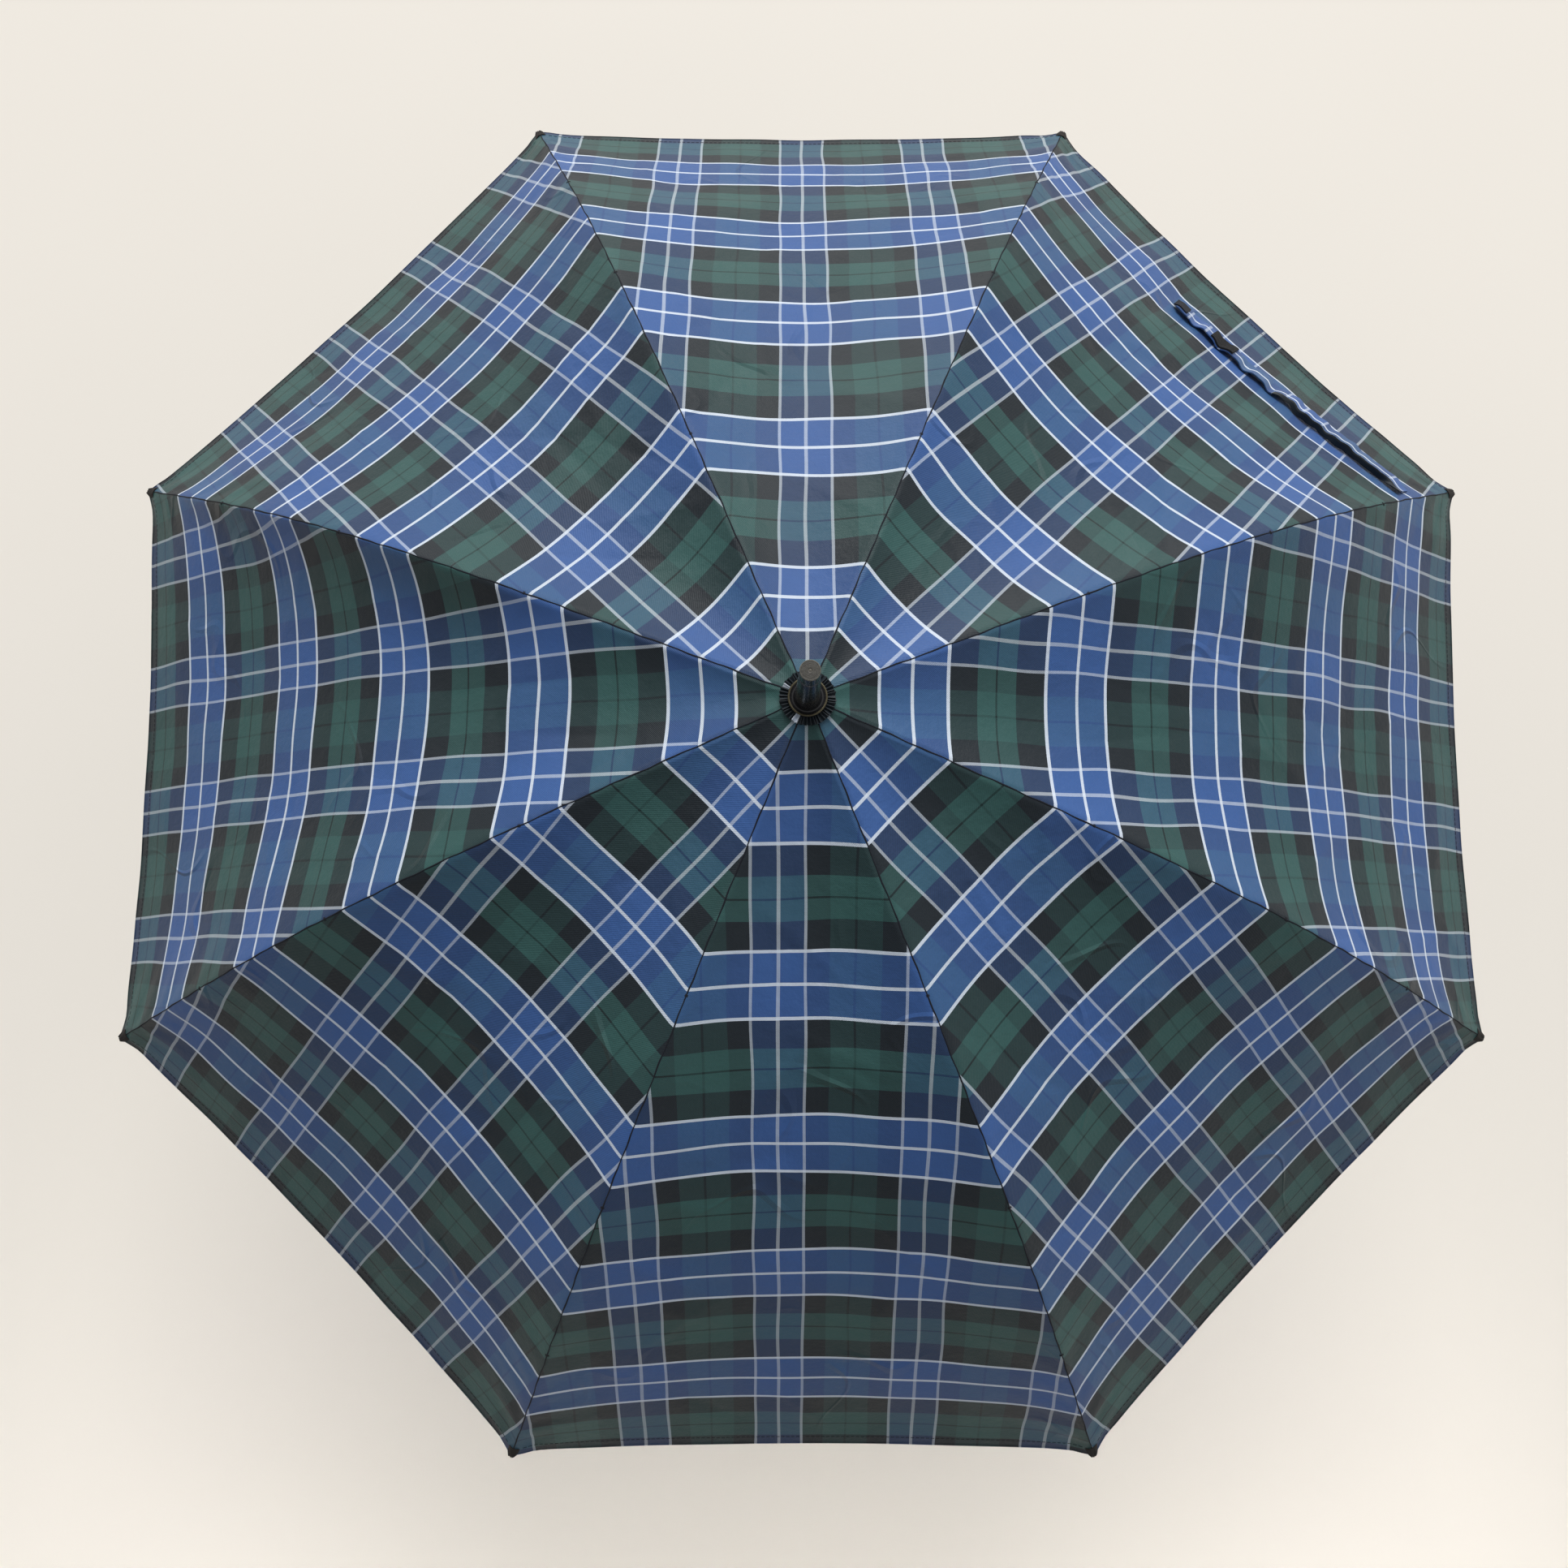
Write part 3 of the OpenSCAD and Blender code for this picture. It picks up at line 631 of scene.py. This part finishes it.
# ---------------------------------------------------------------- canopy
# Grid of half a gore's cloth, the hem's depth, and the gore's width there
ROWS, COLUMNS = 140, 40
HEM_WIDTH = 0.008
HEM_SPAN = float(gore_width(HEM_AT))
# Shares of the rib where its corner pocket starts and ends and where threads tie the seam to it, with the
# thread's turns, the steps in a turn, and a turn's share of the rib
POCKET_FROM, POCKET_TO = 0.9755, 0.9932
TIES_AT = (0.30, 0.55, 0.78)
TIE_TURNS, TIE_STEPS, TIE_PITCH = 3, 40, 0.0009


def half_gore(rib, side):
    """Half a gore's rib, its folding body, the number of its gore, and whether it is on the rib's left."""
    left = side == "left"
    gore = rib if left else (rib - 2) % RIBS + 1
    return f"rib_{rib}", f"panel_{rib}_{side}", gore, left


def across_half(fraction, left):
    """Share across the gore from the rib's seam (fraction 0) to the middle of the gore (fraction 1)."""
    v = 0.5 * fraction
    return v if left else 1 - v


def column_fractions():
    """Columns from the rib to the middle of the gore: three close together on the rib, then even ones."""
    first = np.array([0.0, 0.007, 0.014])
    return np.concatenate([first, np.linspace(0.014, 1, COLUMNS - 2)[1:]])


def hem_share(v):
    """Share of the ribs' length at the hem, which is pulled further out at its corners."""
    from_rib = np.minimum(v, 1 - v) * HEM_SPAN
    return HEM_AT + (CORNER_AT - HEM_AT) * (1 - ease(from_rib / 0.016))


def blend_to_fold(obj):
    """Puts the piece's transform into its mesh points."""
    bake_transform(obj)


def canopy_half(rib, side):
    """The cloth from a rib to the middle of the gore beside it."""
    _, folding, gore, left = half_gore(rib, side)
    v_hem = across_half(column_fractions(), left)
    along = np.linspace(0, 1, ROWS)[:, None]
    t = CLOTH_FROM + (hem_share(v_hem)[None, :] - CLOTH_FROM) * along
    v = v_hem[None, :]
    if not left:
        t, v = t[:, ::-1], v[:, ::-1]
    # a column beyond the fold line gives both halves the same normals there
    beyond = v[:, -1:] + (v[:, -1:] - v[:, -2:-1]) if left else v[:, :1] + (v[:, :1] - v[:, 1:2])
    wide_v = np.concatenate([v, beyond] if left else [beyond, v], 1)
    wide_t = np.concatenate([t, t[:, -1:]] if left else [t[:, :1], t], 1)
    wide, _ = cloth(gore, wide_t, wide_v)
    points, uvs = cloth(gore, t, v)
    normals = grid_normals(wide)
    normals = normals[:, :-1] if left else normals[:, 1:]
    obj = sheet_object(f"cloth_{rib}_{side}", points, uvs, TARTAN, CLOTH_T, normals)
    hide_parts(folding)
    blend_to_fold(obj)
    return obj


def hem_fold(rib, side):
    """The hem, folded under the cloth's edge and standing just out of it."""
    _, _, gore, left = half_gore(rib, side)
    v = across_half(column_fractions(), left)
    t_end = hem_share(v)
    # across the fold: round the edge, then back under the cloth
    profile = [(0.0, 0.00042), (0.0008, 0.00030), (0.0010, -0.0001), (0.0006, -0.0006), (-0.0010, -0.0010),
               (-0.5 * HEM_WIDTH, -0.0009), (-HEM_WIDTH, -0.0008)]
    points, uvs = [], []
    for ahead, out in profile:
        p, uv = cloth(gore, t_end + ahead / RIB_LENGTH, v, CLOTH_UP + out)
        points.append(p)
        uvs.append(uv)
    points, uvs = np.array(points), np.array(uvs)
    if not left:
        points, uvs = points[:, ::-1], uvs[:, ::-1]
    obj = sheet_object(f"hem_{rib}_{side}", points, uvs, TARTAN, 0.0003)
    blend_to_fold(obj)
    return obj


def hem_stitches(rib, side):
    """A row of small stitches along the hem, each a short raised thread."""
    _, _, gore, left = half_gore(rib, side)
    pitch, length, thick = 0.0034, 0.0023, 0.00022
    starts = np.arange(0.006, HEM_SPAN / 2 - pitch, pitch)[:, None, None]
    from_rib = starts + np.array([0, length])[None, :, None]
    ahead = np.array([-thick, 0, thick, 0])
    up = 0.0002 + np.array([0, 1.2 * thick, 0, -0.0002])
    v = from_rib / HEM_SPAN
    v = v if left else 1 - v
    t = hem_share(v) - (HEM_WIDTH - 0.0012 - ahead) / RIB_LENGTH
    points, _ = cloth(gore, t, np.broadcast_to(v, t.shape), CLOTH_UP + up)
    faces = []
    for base in range(0, 8 * len(starts), 8):
        for j in range(4):
            n = (j + 1) % 4
            faces.append((base + j, base + n, base + 4 + n, base + 4 + j))
        faces.append((base + 3, base + 2, base + 1, base))
        faces.append((base + 4, base + 5, base + 6, base + 7))
    obj = make_object(f"hem_stitches_{rib}_{side}", points.reshape(-1, 3), faces, THREAD, smooth=False)
    face_outwards(obj)
    blend_to_fold(obj)
    return obj


def rib_seam(rib):
    """The welt where two gores are sewn together along a rib."""
    t = np.linspace(0.006, 0.985, 150)
    wander = 0.00018 * np.sin(t * 97 + rib) + 0.00012 * np.sin(t * 231 + 2 * rib)
    path = on_rib(rib, t, CLOTH_UP + 0.00016, wander)
    wide = 0.00042 + 0.00008 * np.sin(t * 140 + 3 * rib)
    a = rib_azimuth(rib)
    up = (0.3 * math.cos(a), 0.3 * math.sin(a), 1)
    obj = tube_along(f"rib_seam_{rib}", path, 0.00036, SEAM, sides=8, normal=up, width=wide)
    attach(obj, f"rib_{rib}")


def corner_pocket(rib):
    """The corner of the cloth, sewn double round the bead's sleeve."""
    rows, columns = 14, 15
    t = np.linspace(POCKET_FROM, POCKET_TO, rows)[:, None]
    s = np.linspace(0, 1, rows)[:, None]
    w = np.linspace(-1, 1, columns)[None, :]
    half = 0.0056 * (1 - s) ** 1.2 + 0.0024 - 0.0004 * s ** 4
    side = w * half
    wrap = np.maximum(np.abs(side) - 0.0018, 0)
    drop = 0.85 * wrap + 90 * wrap ** 2 * s + 0.0003 * np.sin(9 * w + rib) * s
    points = on_rib(rib, t, CLOTH_UP + 0.00055 - drop, side)
    uvs = np.stack(np.broadcast_arrays(0.0225 + 0.003 * w, 0.092 + 0.01 * s), -1)
    obj = sheet_object(f"corner_pocket_{rib}", points[:, ::-1], uvs[:, ::-1], HEM, 0.0006)
    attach(obj, f"rib_{rib}")


def rib_ties(rib):
    """Loops of thread that tie the seam down to the rib."""
    up = (math.cos(rib_azimuth(rib)), math.sin(rib_azimuth(rib)), 0.2)
    for number, t in enumerate(TIES_AT):
        path = []
        for i in range(TIE_STEPS * TIE_TURNS + 1):
            a = 2 * math.pi * i / TIE_STEPS
            out = 0.0006 + 0.0024 * math.sin(a)
            side = 0.00215 * math.cos(a)
            path.append(on_rib(rib, t + (i / TIE_STEPS - TIE_TURNS / 2) * TIE_PITCH, out, side))
        name = f"rib_tie_{rib}_{number + 1}"
        obj = tube_along(name, path, 0.00022, THREAD, sides=6, normal=up)
        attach(obj, f"rib_{rib}")


for rib in range(1, RIBS + 1):
    for side in ("left", "right"):
        half = canopy_half(rib, side)
        hem = hem_fold(rib, side)
        stitches = hem_stitches(rib, side)
    rib_seam(rib)
    corner_pocket(rib)
    rib_ties(rib)


# ---------------------------------------------------------------- rosette
ROSETTE_IN, ROSETTE_OUT = 0.0072, 0.0158
ROSETTE_LOW, ROSETTE_HIGH = 0.7262, 0.7290
PLEATS = 46
# The pleats on which a white line of the cloth shows, and that line's distance from the crown
WHITE_PLEATS, WHITE_LINE_AT = (19, 30, 31), 0.0827


def rosette():
    """The ruffle of gathered cloth that the ferrule's flange presses down."""
    dice = np.random.RandomState(7)
    per_pleat, rings = 12, 7
    count = PLEATS * per_pleat
    tartan_y = 0.0838 + 0.0155 * np.arange(PLEATS) / PLEATS
    tartan_y[list(WHITE_PLEATS)] = WHITE_LINE_AT
    tall = 1 + 0.22 * dice.uniform(-1, 1, PLEATS)
    reach = 1 + 0.035 * dice.uniform(-1, 1, PLEATS)
    lean = dice.uniform(-0.5, 0.5, PLEATS)
    middle, half = (ROSETTE_LOW + ROSETTE_HIGH) / 2, (ROSETTE_HIGH - ROSETTE_LOW) / 2
    points, uvs = np.zeros((rings, count + 1, 3)), np.zeros((rings, count + 1, 2))
    for j in range(count + 1):
        pleat, phase = (j // per_pleat) % PLEATS, (j % per_pleat) / per_pleat
        wave = math.sin(2 * math.pi * phase)
        for i in range(rings):
            s = i / (rings - 1)
            r = ROSETTE_IN + (ROSETTE_OUT * (reach[pleat] if wave > 0 else 1.0) - ROSETTE_IN) * s
            swing = (0.30 * math.sin(4 * math.pi * phase) + lean[pleat] * wave * s) / PLEATS
            a = 2 * math.pi * (j / count + swing * 0.8)
            z = middle + half * (0.35 + 0.55 * s) * wave * tall[pleat] + 0.0004 * (1 - s)
            points[i, j] = (r * math.cos(a), r * math.sin(a), z)
            uvs[i, j] = (0.0225 + 0.2 * r, tartan_y[pleat])
    obj = sheet_object("rosette_ruffle", points, uvs, TARTAN, 0.00028)
    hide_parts("rosette")
    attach(obj, "stick")


rosette()


# ---------------------------------------------------------------- ferrule
# The ferrule's top and bottom, its straight end's radius and length, its flange, and the worn disc's radius
FERRULE_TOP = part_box("ferrule")[1].z
FERRULE_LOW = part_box("ferrule")[0].z
PIN_R = 0.0055
FLANGE_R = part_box("ferrule")[1].x
FLANGE_Z = CROWN_Z + 0.0052
PIN_LENGTH = 0.014
DISC_R = 0.0056


def ferrule():
    """The turned ferrule: dished flange with a metal rim, tapered cone, groove, and straight end."""
    pin_low = FERRULE_TOP - PIN_LENGTH
    outline = [
        (0, FERRULE_LOW), (0.0069, FERRULE_LOW), (0.0069, FLANGE_Z), (FLANGE_R - 0.0012, FLANGE_Z),
        (FLANGE_R, FLANGE_Z + 0.0008), (FLANGE_R, FLANGE_Z + 0.0018), (FLANGE_R - 0.0009, FLANGE_Z + 0.0022),
        (0.0094, FLANGE_Z + 0.0015), (0.0084, FLANGE_Z + 0.0013), (0.0076, FLANGE_Z + 0.0022),
        (0.0072, FLANGE_Z + 0.0034), (0.0070, FLANGE_Z + 0.0080), (PIN_R + 0.0009, pin_low - 0.020),
        (PIN_R + 0.0003, pin_low - 0.0022), (PIN_R - 0.0002, pin_low - 0.0014), (PIN_R, pin_low - 0.0004),
        (PIN_R, FERRULE_TOP - 0.0004), (PIN_R - 0.0002, FERRULE_TOP), (0.0053, FERRULE_TOP),
        (0.0052, FERRULE_TOP - 0.0006), (0, FERRULE_TOP - 0.0006)]
    obj = lathe("ferrule_turned", rounded(outline, 0.0006), GLOSS, segments=128)
    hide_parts("ferrule")
    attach(obj, "stick")
    bead = [
        (FLANGE_R - 0.0010, FLANGE_Z + 0.0021), (FLANGE_R - 0.0004, FLANGE_Z + 0.0023),
        (FLANGE_R + 0.0001, FLANGE_Z + 0.0019), (FLANGE_R + 0.0001, FLANGE_Z + 0.0014),
        (FLANGE_R - 0.0006, FLANGE_Z + 0.0014), (FLANGE_R - 0.0010, FLANGE_Z + 0.0021)]
    rim = lathe("ferrule_rim", rounded(bead, 0.0002), RIM_METAL, segments=128)
    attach(rim, "stick")


def ferrule_end():
    """The worn disc in the ferrule's end: a little domed, with a rim and a moulding mark in its middle."""
    z = FERRULE_TOP
    outline = [(0, z - 0.0007), (DISC_R, z - 0.0007), (DISC_R, z + 0.0002), (0.0053, z + 0.00042),
               (0.0047, z + 0.00030), (0.0038, z + 0.00040), (0.0012, z + 0.0004), (0.0009, z + 0.0002),
               (0.0005, z + 0.00035), (0, z + 0.00045)]
    obj = lathe("ferrule_end_disc", rounded(outline, 0.00015), SCUFFED_AND_HIGHLIGHT, segments=96)
    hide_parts("ferrule_tip")
    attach(obj, "stick")


ferrule()
ferrule_end()


# ---------------------------------------------------------------- tie strap
# The strap's share along the ribs and across its gore where it starts, its sizes, and its tape's place
STRAP_AT, STRAP_FROM = 0.853, 0.02
STRAP_L, STRAP_W, STRAP_T = 0.204, 0.019, 0.0008
PATCH_AT, PATCH_L = 0.74, 0.020
# The strap's ridge, from -1 at the hem side to 1, and the share of its length whose crown side is painted
# with shade, in the tartan's darkest colours
RIDGE_AT, PAINTED_SHADE_TO = 0.5, 0.54


def strap_surface(w, across, out):
    """A point of the strap at share w of its length and -1 (hem side) to 1 (crown side) across.

    Near its sewn end it stands off the cloth, with its crown side folded down steeply. Beyond that it lies
    down and waves.
    """
    w, across = np.broadcast_arrays(np.asarray(w, float), np.asarray(across, float))
    stands = ease(w / 0.09) * (1 - ease((w - 0.40) / 0.18))
    flat_side, flat_up = across * STRAP_W / 2, 0.0011 * (across + 1)
    climb = np.clip((across + 1) / (RIDGE_AT + 1), 0, 1)
    drop = np.clip((across - RIDGE_AT) / (1 - RIDGE_AT), 0, 1)
    tall = 0.0042 + 0.0005 * np.sin(2 * math.pi * w * 5.1)
    ridge_side = -0.0075 + 0.0138 * climb - 0.0005 * drop
    ridge_up = tall + 0.0009 * climb - (tall + 0.0006) * drop
    side = flat_side * (1 - stands) + ridge_side * stands
    up = flat_up * (1 - stands) + ridge_up * stands
    weave = 0.0011 * np.sin(2 * math.pi * w * 7.5 + 1.1)
    wave = 0.0011 * np.sin(2 * math.pi * w * 8.5 + 0.2) * ease(w / 0.1) * (1 - 0.5 * stands)
    wave = wave + 0.0005 * np.sin(2 * math.pi * w * 17 + 2.0) * ease(w / 0.3)
    t = STRAP_AT - (side + weave) / RIB_LENGTH
    v = STRAP_FROM + STRAP_L / float(gore_width(STRAP_AT)) * w
    points, _ = cloth(1, t, v, CLOTH_UP + 0.0010 + np.maximum(up + wave, 0) + out)
    return points


def strap_piece(name, start, end, rows, columns, out, thickness, made_of, reach=1.0):
    """One layer of the strap, from one share of its length to another, over that reach of its width."""
    w = np.linspace(start, end, rows)[:, None]
    across = np.linspace(-reach, reach, columns)[None, :]
    points = strap_surface(w, across, out)
    # painted shade: the crown side of the standing part takes the tartan's dark-on-dark colours so that it
    # looks shadowed
    painted_shade_side = (across > RIDGE_AT - 0.02) & (w < PAINTED_SHADE_TO)
    uvs = np.stack([np.where(painted_shade_side, 0.023, w * STRAP_L + 0.003 + 0 * across),
                    ALONG_FROM + across * STRAP_W / 2 + np.where(painted_shade_side, 0.022, 0.0)], -1)
    return sheet_object(name, points, uvs, made_of, thickness)


def tie_strap():
    """The strap that holds the rolled canopy, with its hook-and-loop tape and the tab at its free end."""
    strap = strap_piece("tie_strap_cloth", 0, 1, 120, 17, 0.0, STRAP_T, TARTAN)
    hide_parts("tie_strap")
    patch_end = PATCH_AT + PATCH_L / STRAP_L
    patch = strap_piece("tie_strap_tape", PATCH_AT, patch_end, 14, 9, 0.0012, 0.0013, TAPE, 0.93)
    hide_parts("tie_strap_patch")
    tab = strap_piece("tie_strap_tab", 0.955, 1.012, 8, 7, 0.0009, 0.0009, SEAM, 0.72)
    for obj in (strap, patch, tab):
        blend_to_fold(obj)


tie_strap()


# ---------------------------------------------------------------- handle
# The grip's top and radius, the crook's radius and its middle's height, and the tail's end
GRIP_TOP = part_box("handle")[1].z
CROOK_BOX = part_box("handle")
GRIP_R = -CROOK_BOX[0].x
CROOK_R = (CROOK_BOX[1].x - GRIP_R) / 2
CROOK_Z = CROOK_BOX[0].z + CROOK_R + GRIP_R
TAIL_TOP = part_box("handle_end_cap")[0].z
# Length over which the grip's top is rounded in, and the distance round the bar
TOP_ROUND, BAR_ROUND = 0.0022, 0.069


def handle():
    """The crook handle, swept along its bent bar, thickest along the grip and slimmer towards both ends."""
    straight = [(0, 0, z) for z in np.linspace(GRIP_TOP, CROOK_Z, 34)]
    bend = [(CROOK_R - CROOK_R * math.cos(a), 0, CROOK_Z - CROOK_R * math.sin(a))
            for a in np.linspace(0, math.pi, 72)[1:]]
    tail = [(2 * CROOK_R, 0, z) for z in np.linspace(CROOK_Z, TAIL_TOP, 10)[1:]]
    path = np.array(straight + bend + tail)
    lengths = np.concatenate([[0], np.cumsum(np.linalg.norm(np.diff(path, axis=0), axis=1))])
    share = lengths / lengths[-1]
    swell = 0.035 * np.sin(math.pi * np.clip(share / 0.42, 0, 1))
    radius = GRIP_R * (0.965 + swell - 0.02 * ease((share - 0.8) / 0.2))
    rounding = 0.90 + 0.1 * np.sqrt(np.clip(lengths / TOP_ROUND, 0, 1))
    radius = radius * np.where(lengths < TOP_ROUND, rounding, 1)
    sides = 48
    ahead = np.gradient(path, axis=0)
    ahead /= np.linalg.norm(ahead, axis=1)[:, None]
    points, uvs = [], []
    for p, d, r, run in zip(path, ahead, radius, lengths):
        out = np.cross((0, 1, 0), d)
        for i in range(sides + 1):
            a = 2 * math.pi * i / sides
            points.append(p + r * (math.cos(a) * np.array((0, 1, 0)) + math.sin(a) * out))
            uvs.append((a / (2 * math.pi) * BAR_ROUND, run))
    obj = make_object("handle_crook", points, grid_faces(len(path), sides + 1), WOOD, uvs)
    fix = bmesh.new()
    fix.from_mesh(obj.data)
    bmesh.ops.remove_doubles(fix, verts=fix.verts, dist=1e-6)
    bmesh.ops.holes_fill(fix, edges=[e for e in fix.edges if e.is_boundary], sides=0)
    bmesh.ops.recalc_face_normals(fix, faces=fix.faces)
    fix.to_mesh(obj.data)
    fix.free()
    obj.data.shade_smooth()
    obj.data.set_sharp_from_angle(angle=math.radians(40))
    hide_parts("handle")
    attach(obj, "stick")


handle()


# ---------------------------------------------------------------- CAD nodes that show as they are
NODE_MATERIALS = {
    "shaft": BLACK_LACQUER, "crown_notch": SATIN_PLASTIC, "crown_wire": STEEL, "ferrule_rivet": STEEL,
    "runner_stop": STEEL, "handle_collar": STEEL, "handle_end_cap": STEEL, "runner": SATIN_PLASTIC,
    "runner_wire": STEEL, "top_spring": STEEL, "bottom_spring": STEEL}
for rib in range(1, RIBS + 1):
    NODE_MATERIALS[f"rib_{rib}"] = BLACK_LACQUER
    NODE_MATERIALS[f"rib_{rib}_fittings"] = BRONZE
    NODE_MATERIALS[f"stretcher_{rib}"] = BLACK_LACQUER
for name, finish in NODE_MATERIALS.items():
    mesh = frame["nodes"][name].data
    mesh.materials.clear()
    mesh.materials.append(finish)


# ---------------------------------------------------------------- floor, light and camera
FLOOR_HALF, FLOOR_GAP = 40.0, 0.0005


def floor():
    """A floor just under the handle."""
    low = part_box("handle")[0].z - FLOOR_GAP
    corners = [(x * FLOOR_HALF, y * FLOOR_HALF, low) for x, y in ((-1, -1), (1, -1), (1, 1), (-1, 1))]
    obj = make_object("floor", corners, [(0, 1, 2, 3)], floor_material(), smooth=False)


def look_at(obj, place, target):
    """Puts a light there, shining at the target."""
    obj.location = place
    obj.rotation_euler = (Vector(target) - Vector(place)).to_track_quat("-Z", "Y").to_euler()


def area_light(name, place, target, size, power, colour):
    """A square area light. Returns its data."""
    data = bpy.data.lights.new(name, "AREA")
    data.size = size
    data.energy = power
    data.color = colour
    obj = bpy.data.objects.new(name, data)
    bpy.context.scene.collection.objects.link(obj)
    look_at(obj, place, target)
    return data


def studio():
    """A pale surround, brighter on the upper side, a broad key light there, and a narrow front light."""
    world = bpy.data.worlds.new("studio")
    bpy.context.scene.world = world
    world.use_nodes = True
    tree = world.node_tree
    back = tree.nodes["Background"]
    place = node(tree, "ShaderNodeTexCoord").outputs["Generated"]
    axes = node(tree, "ShaderNodeSeparateXYZ", {0: place}).outputs
    # near 0 towards the picture's lower left and near 1 towards its top right
    found = calc(tree, "ADD", calc(tree, "MULTIPLY", axes[1], 0.34), calc(tree, "MULTIPLY", axes[0], 0.32))
    found = calc(tree, "ADD", found, calc(tree, "MULTIPLY", axes[2], 0.22))
    found = ramp(tree, calc(tree, "ADD", found, 0.42),
                 [(0.05, (0.20, 0.20, 0.21)), (0.45, (0.62, 0.62, 0.63)), (0.95, (0.98, 1.0, 1.03))])
    tree.links.new(found.outputs[0], back.inputs["Color"])
    back.inputs["Strength"].default_value = 0.60
    area_light("key", place=(0.9, 14.2, 12.9), target=(0, 0, 0.6), size=11.0, power=3420,
               colour=(1.0, 0.99, 0.97))
    # a low narrow light that falls mostly on the floor in front, where the canopy shades it
    front = area_light("front", place=(0, -3.1, 2.9), target=(0, -1.12, -0.1), size=1.4, power=3.6,
                       colour=(1.0, 0.96, 0.92))
    front.shape = "RECTANGLE"
    front.size_y = 0.5
    front.spread = math.radians(22)


# The camera's place, the point it looks at, and its lens in millimetres
CAMERA_AT = (-0.0155, -0.1622, 1.6150)
CAMERA_TARGET = (-0.0133, -0.0488, 0.7264)
CAMERA_LENS = 36.73


def camera():
    """The camera, looking down on the canopy with the picture's upper side towards +y."""
    data = bpy.data.cameras.new("camera")
    data.lens = CAMERA_LENS
    data.sensor_width = 36
    data.clip_start, data.clip_end = 0.01, 50
    obj = bpy.data.objects.new("camera", data)
    bpy.context.scene.collection.objects.link(obj)
    forward = (Vector(CAMERA_TARGET) - Vector(CAMERA_AT)).normalized()
    right = forward.cross(Vector((0, 1, 0))).normalized()
    up = right.cross(forward)
    turn = Matrix((right, up, -forward)).transposed()
    obj.matrix_world = Matrix.Translation(CAMERA_AT) @ turn.to_4x4()
    bpy.context.scene.camera = obj


floor()
studio()
camera()
bpy.context.scene.view_settings.view_transform = "Standard"

bpy.context.view_layer.update()
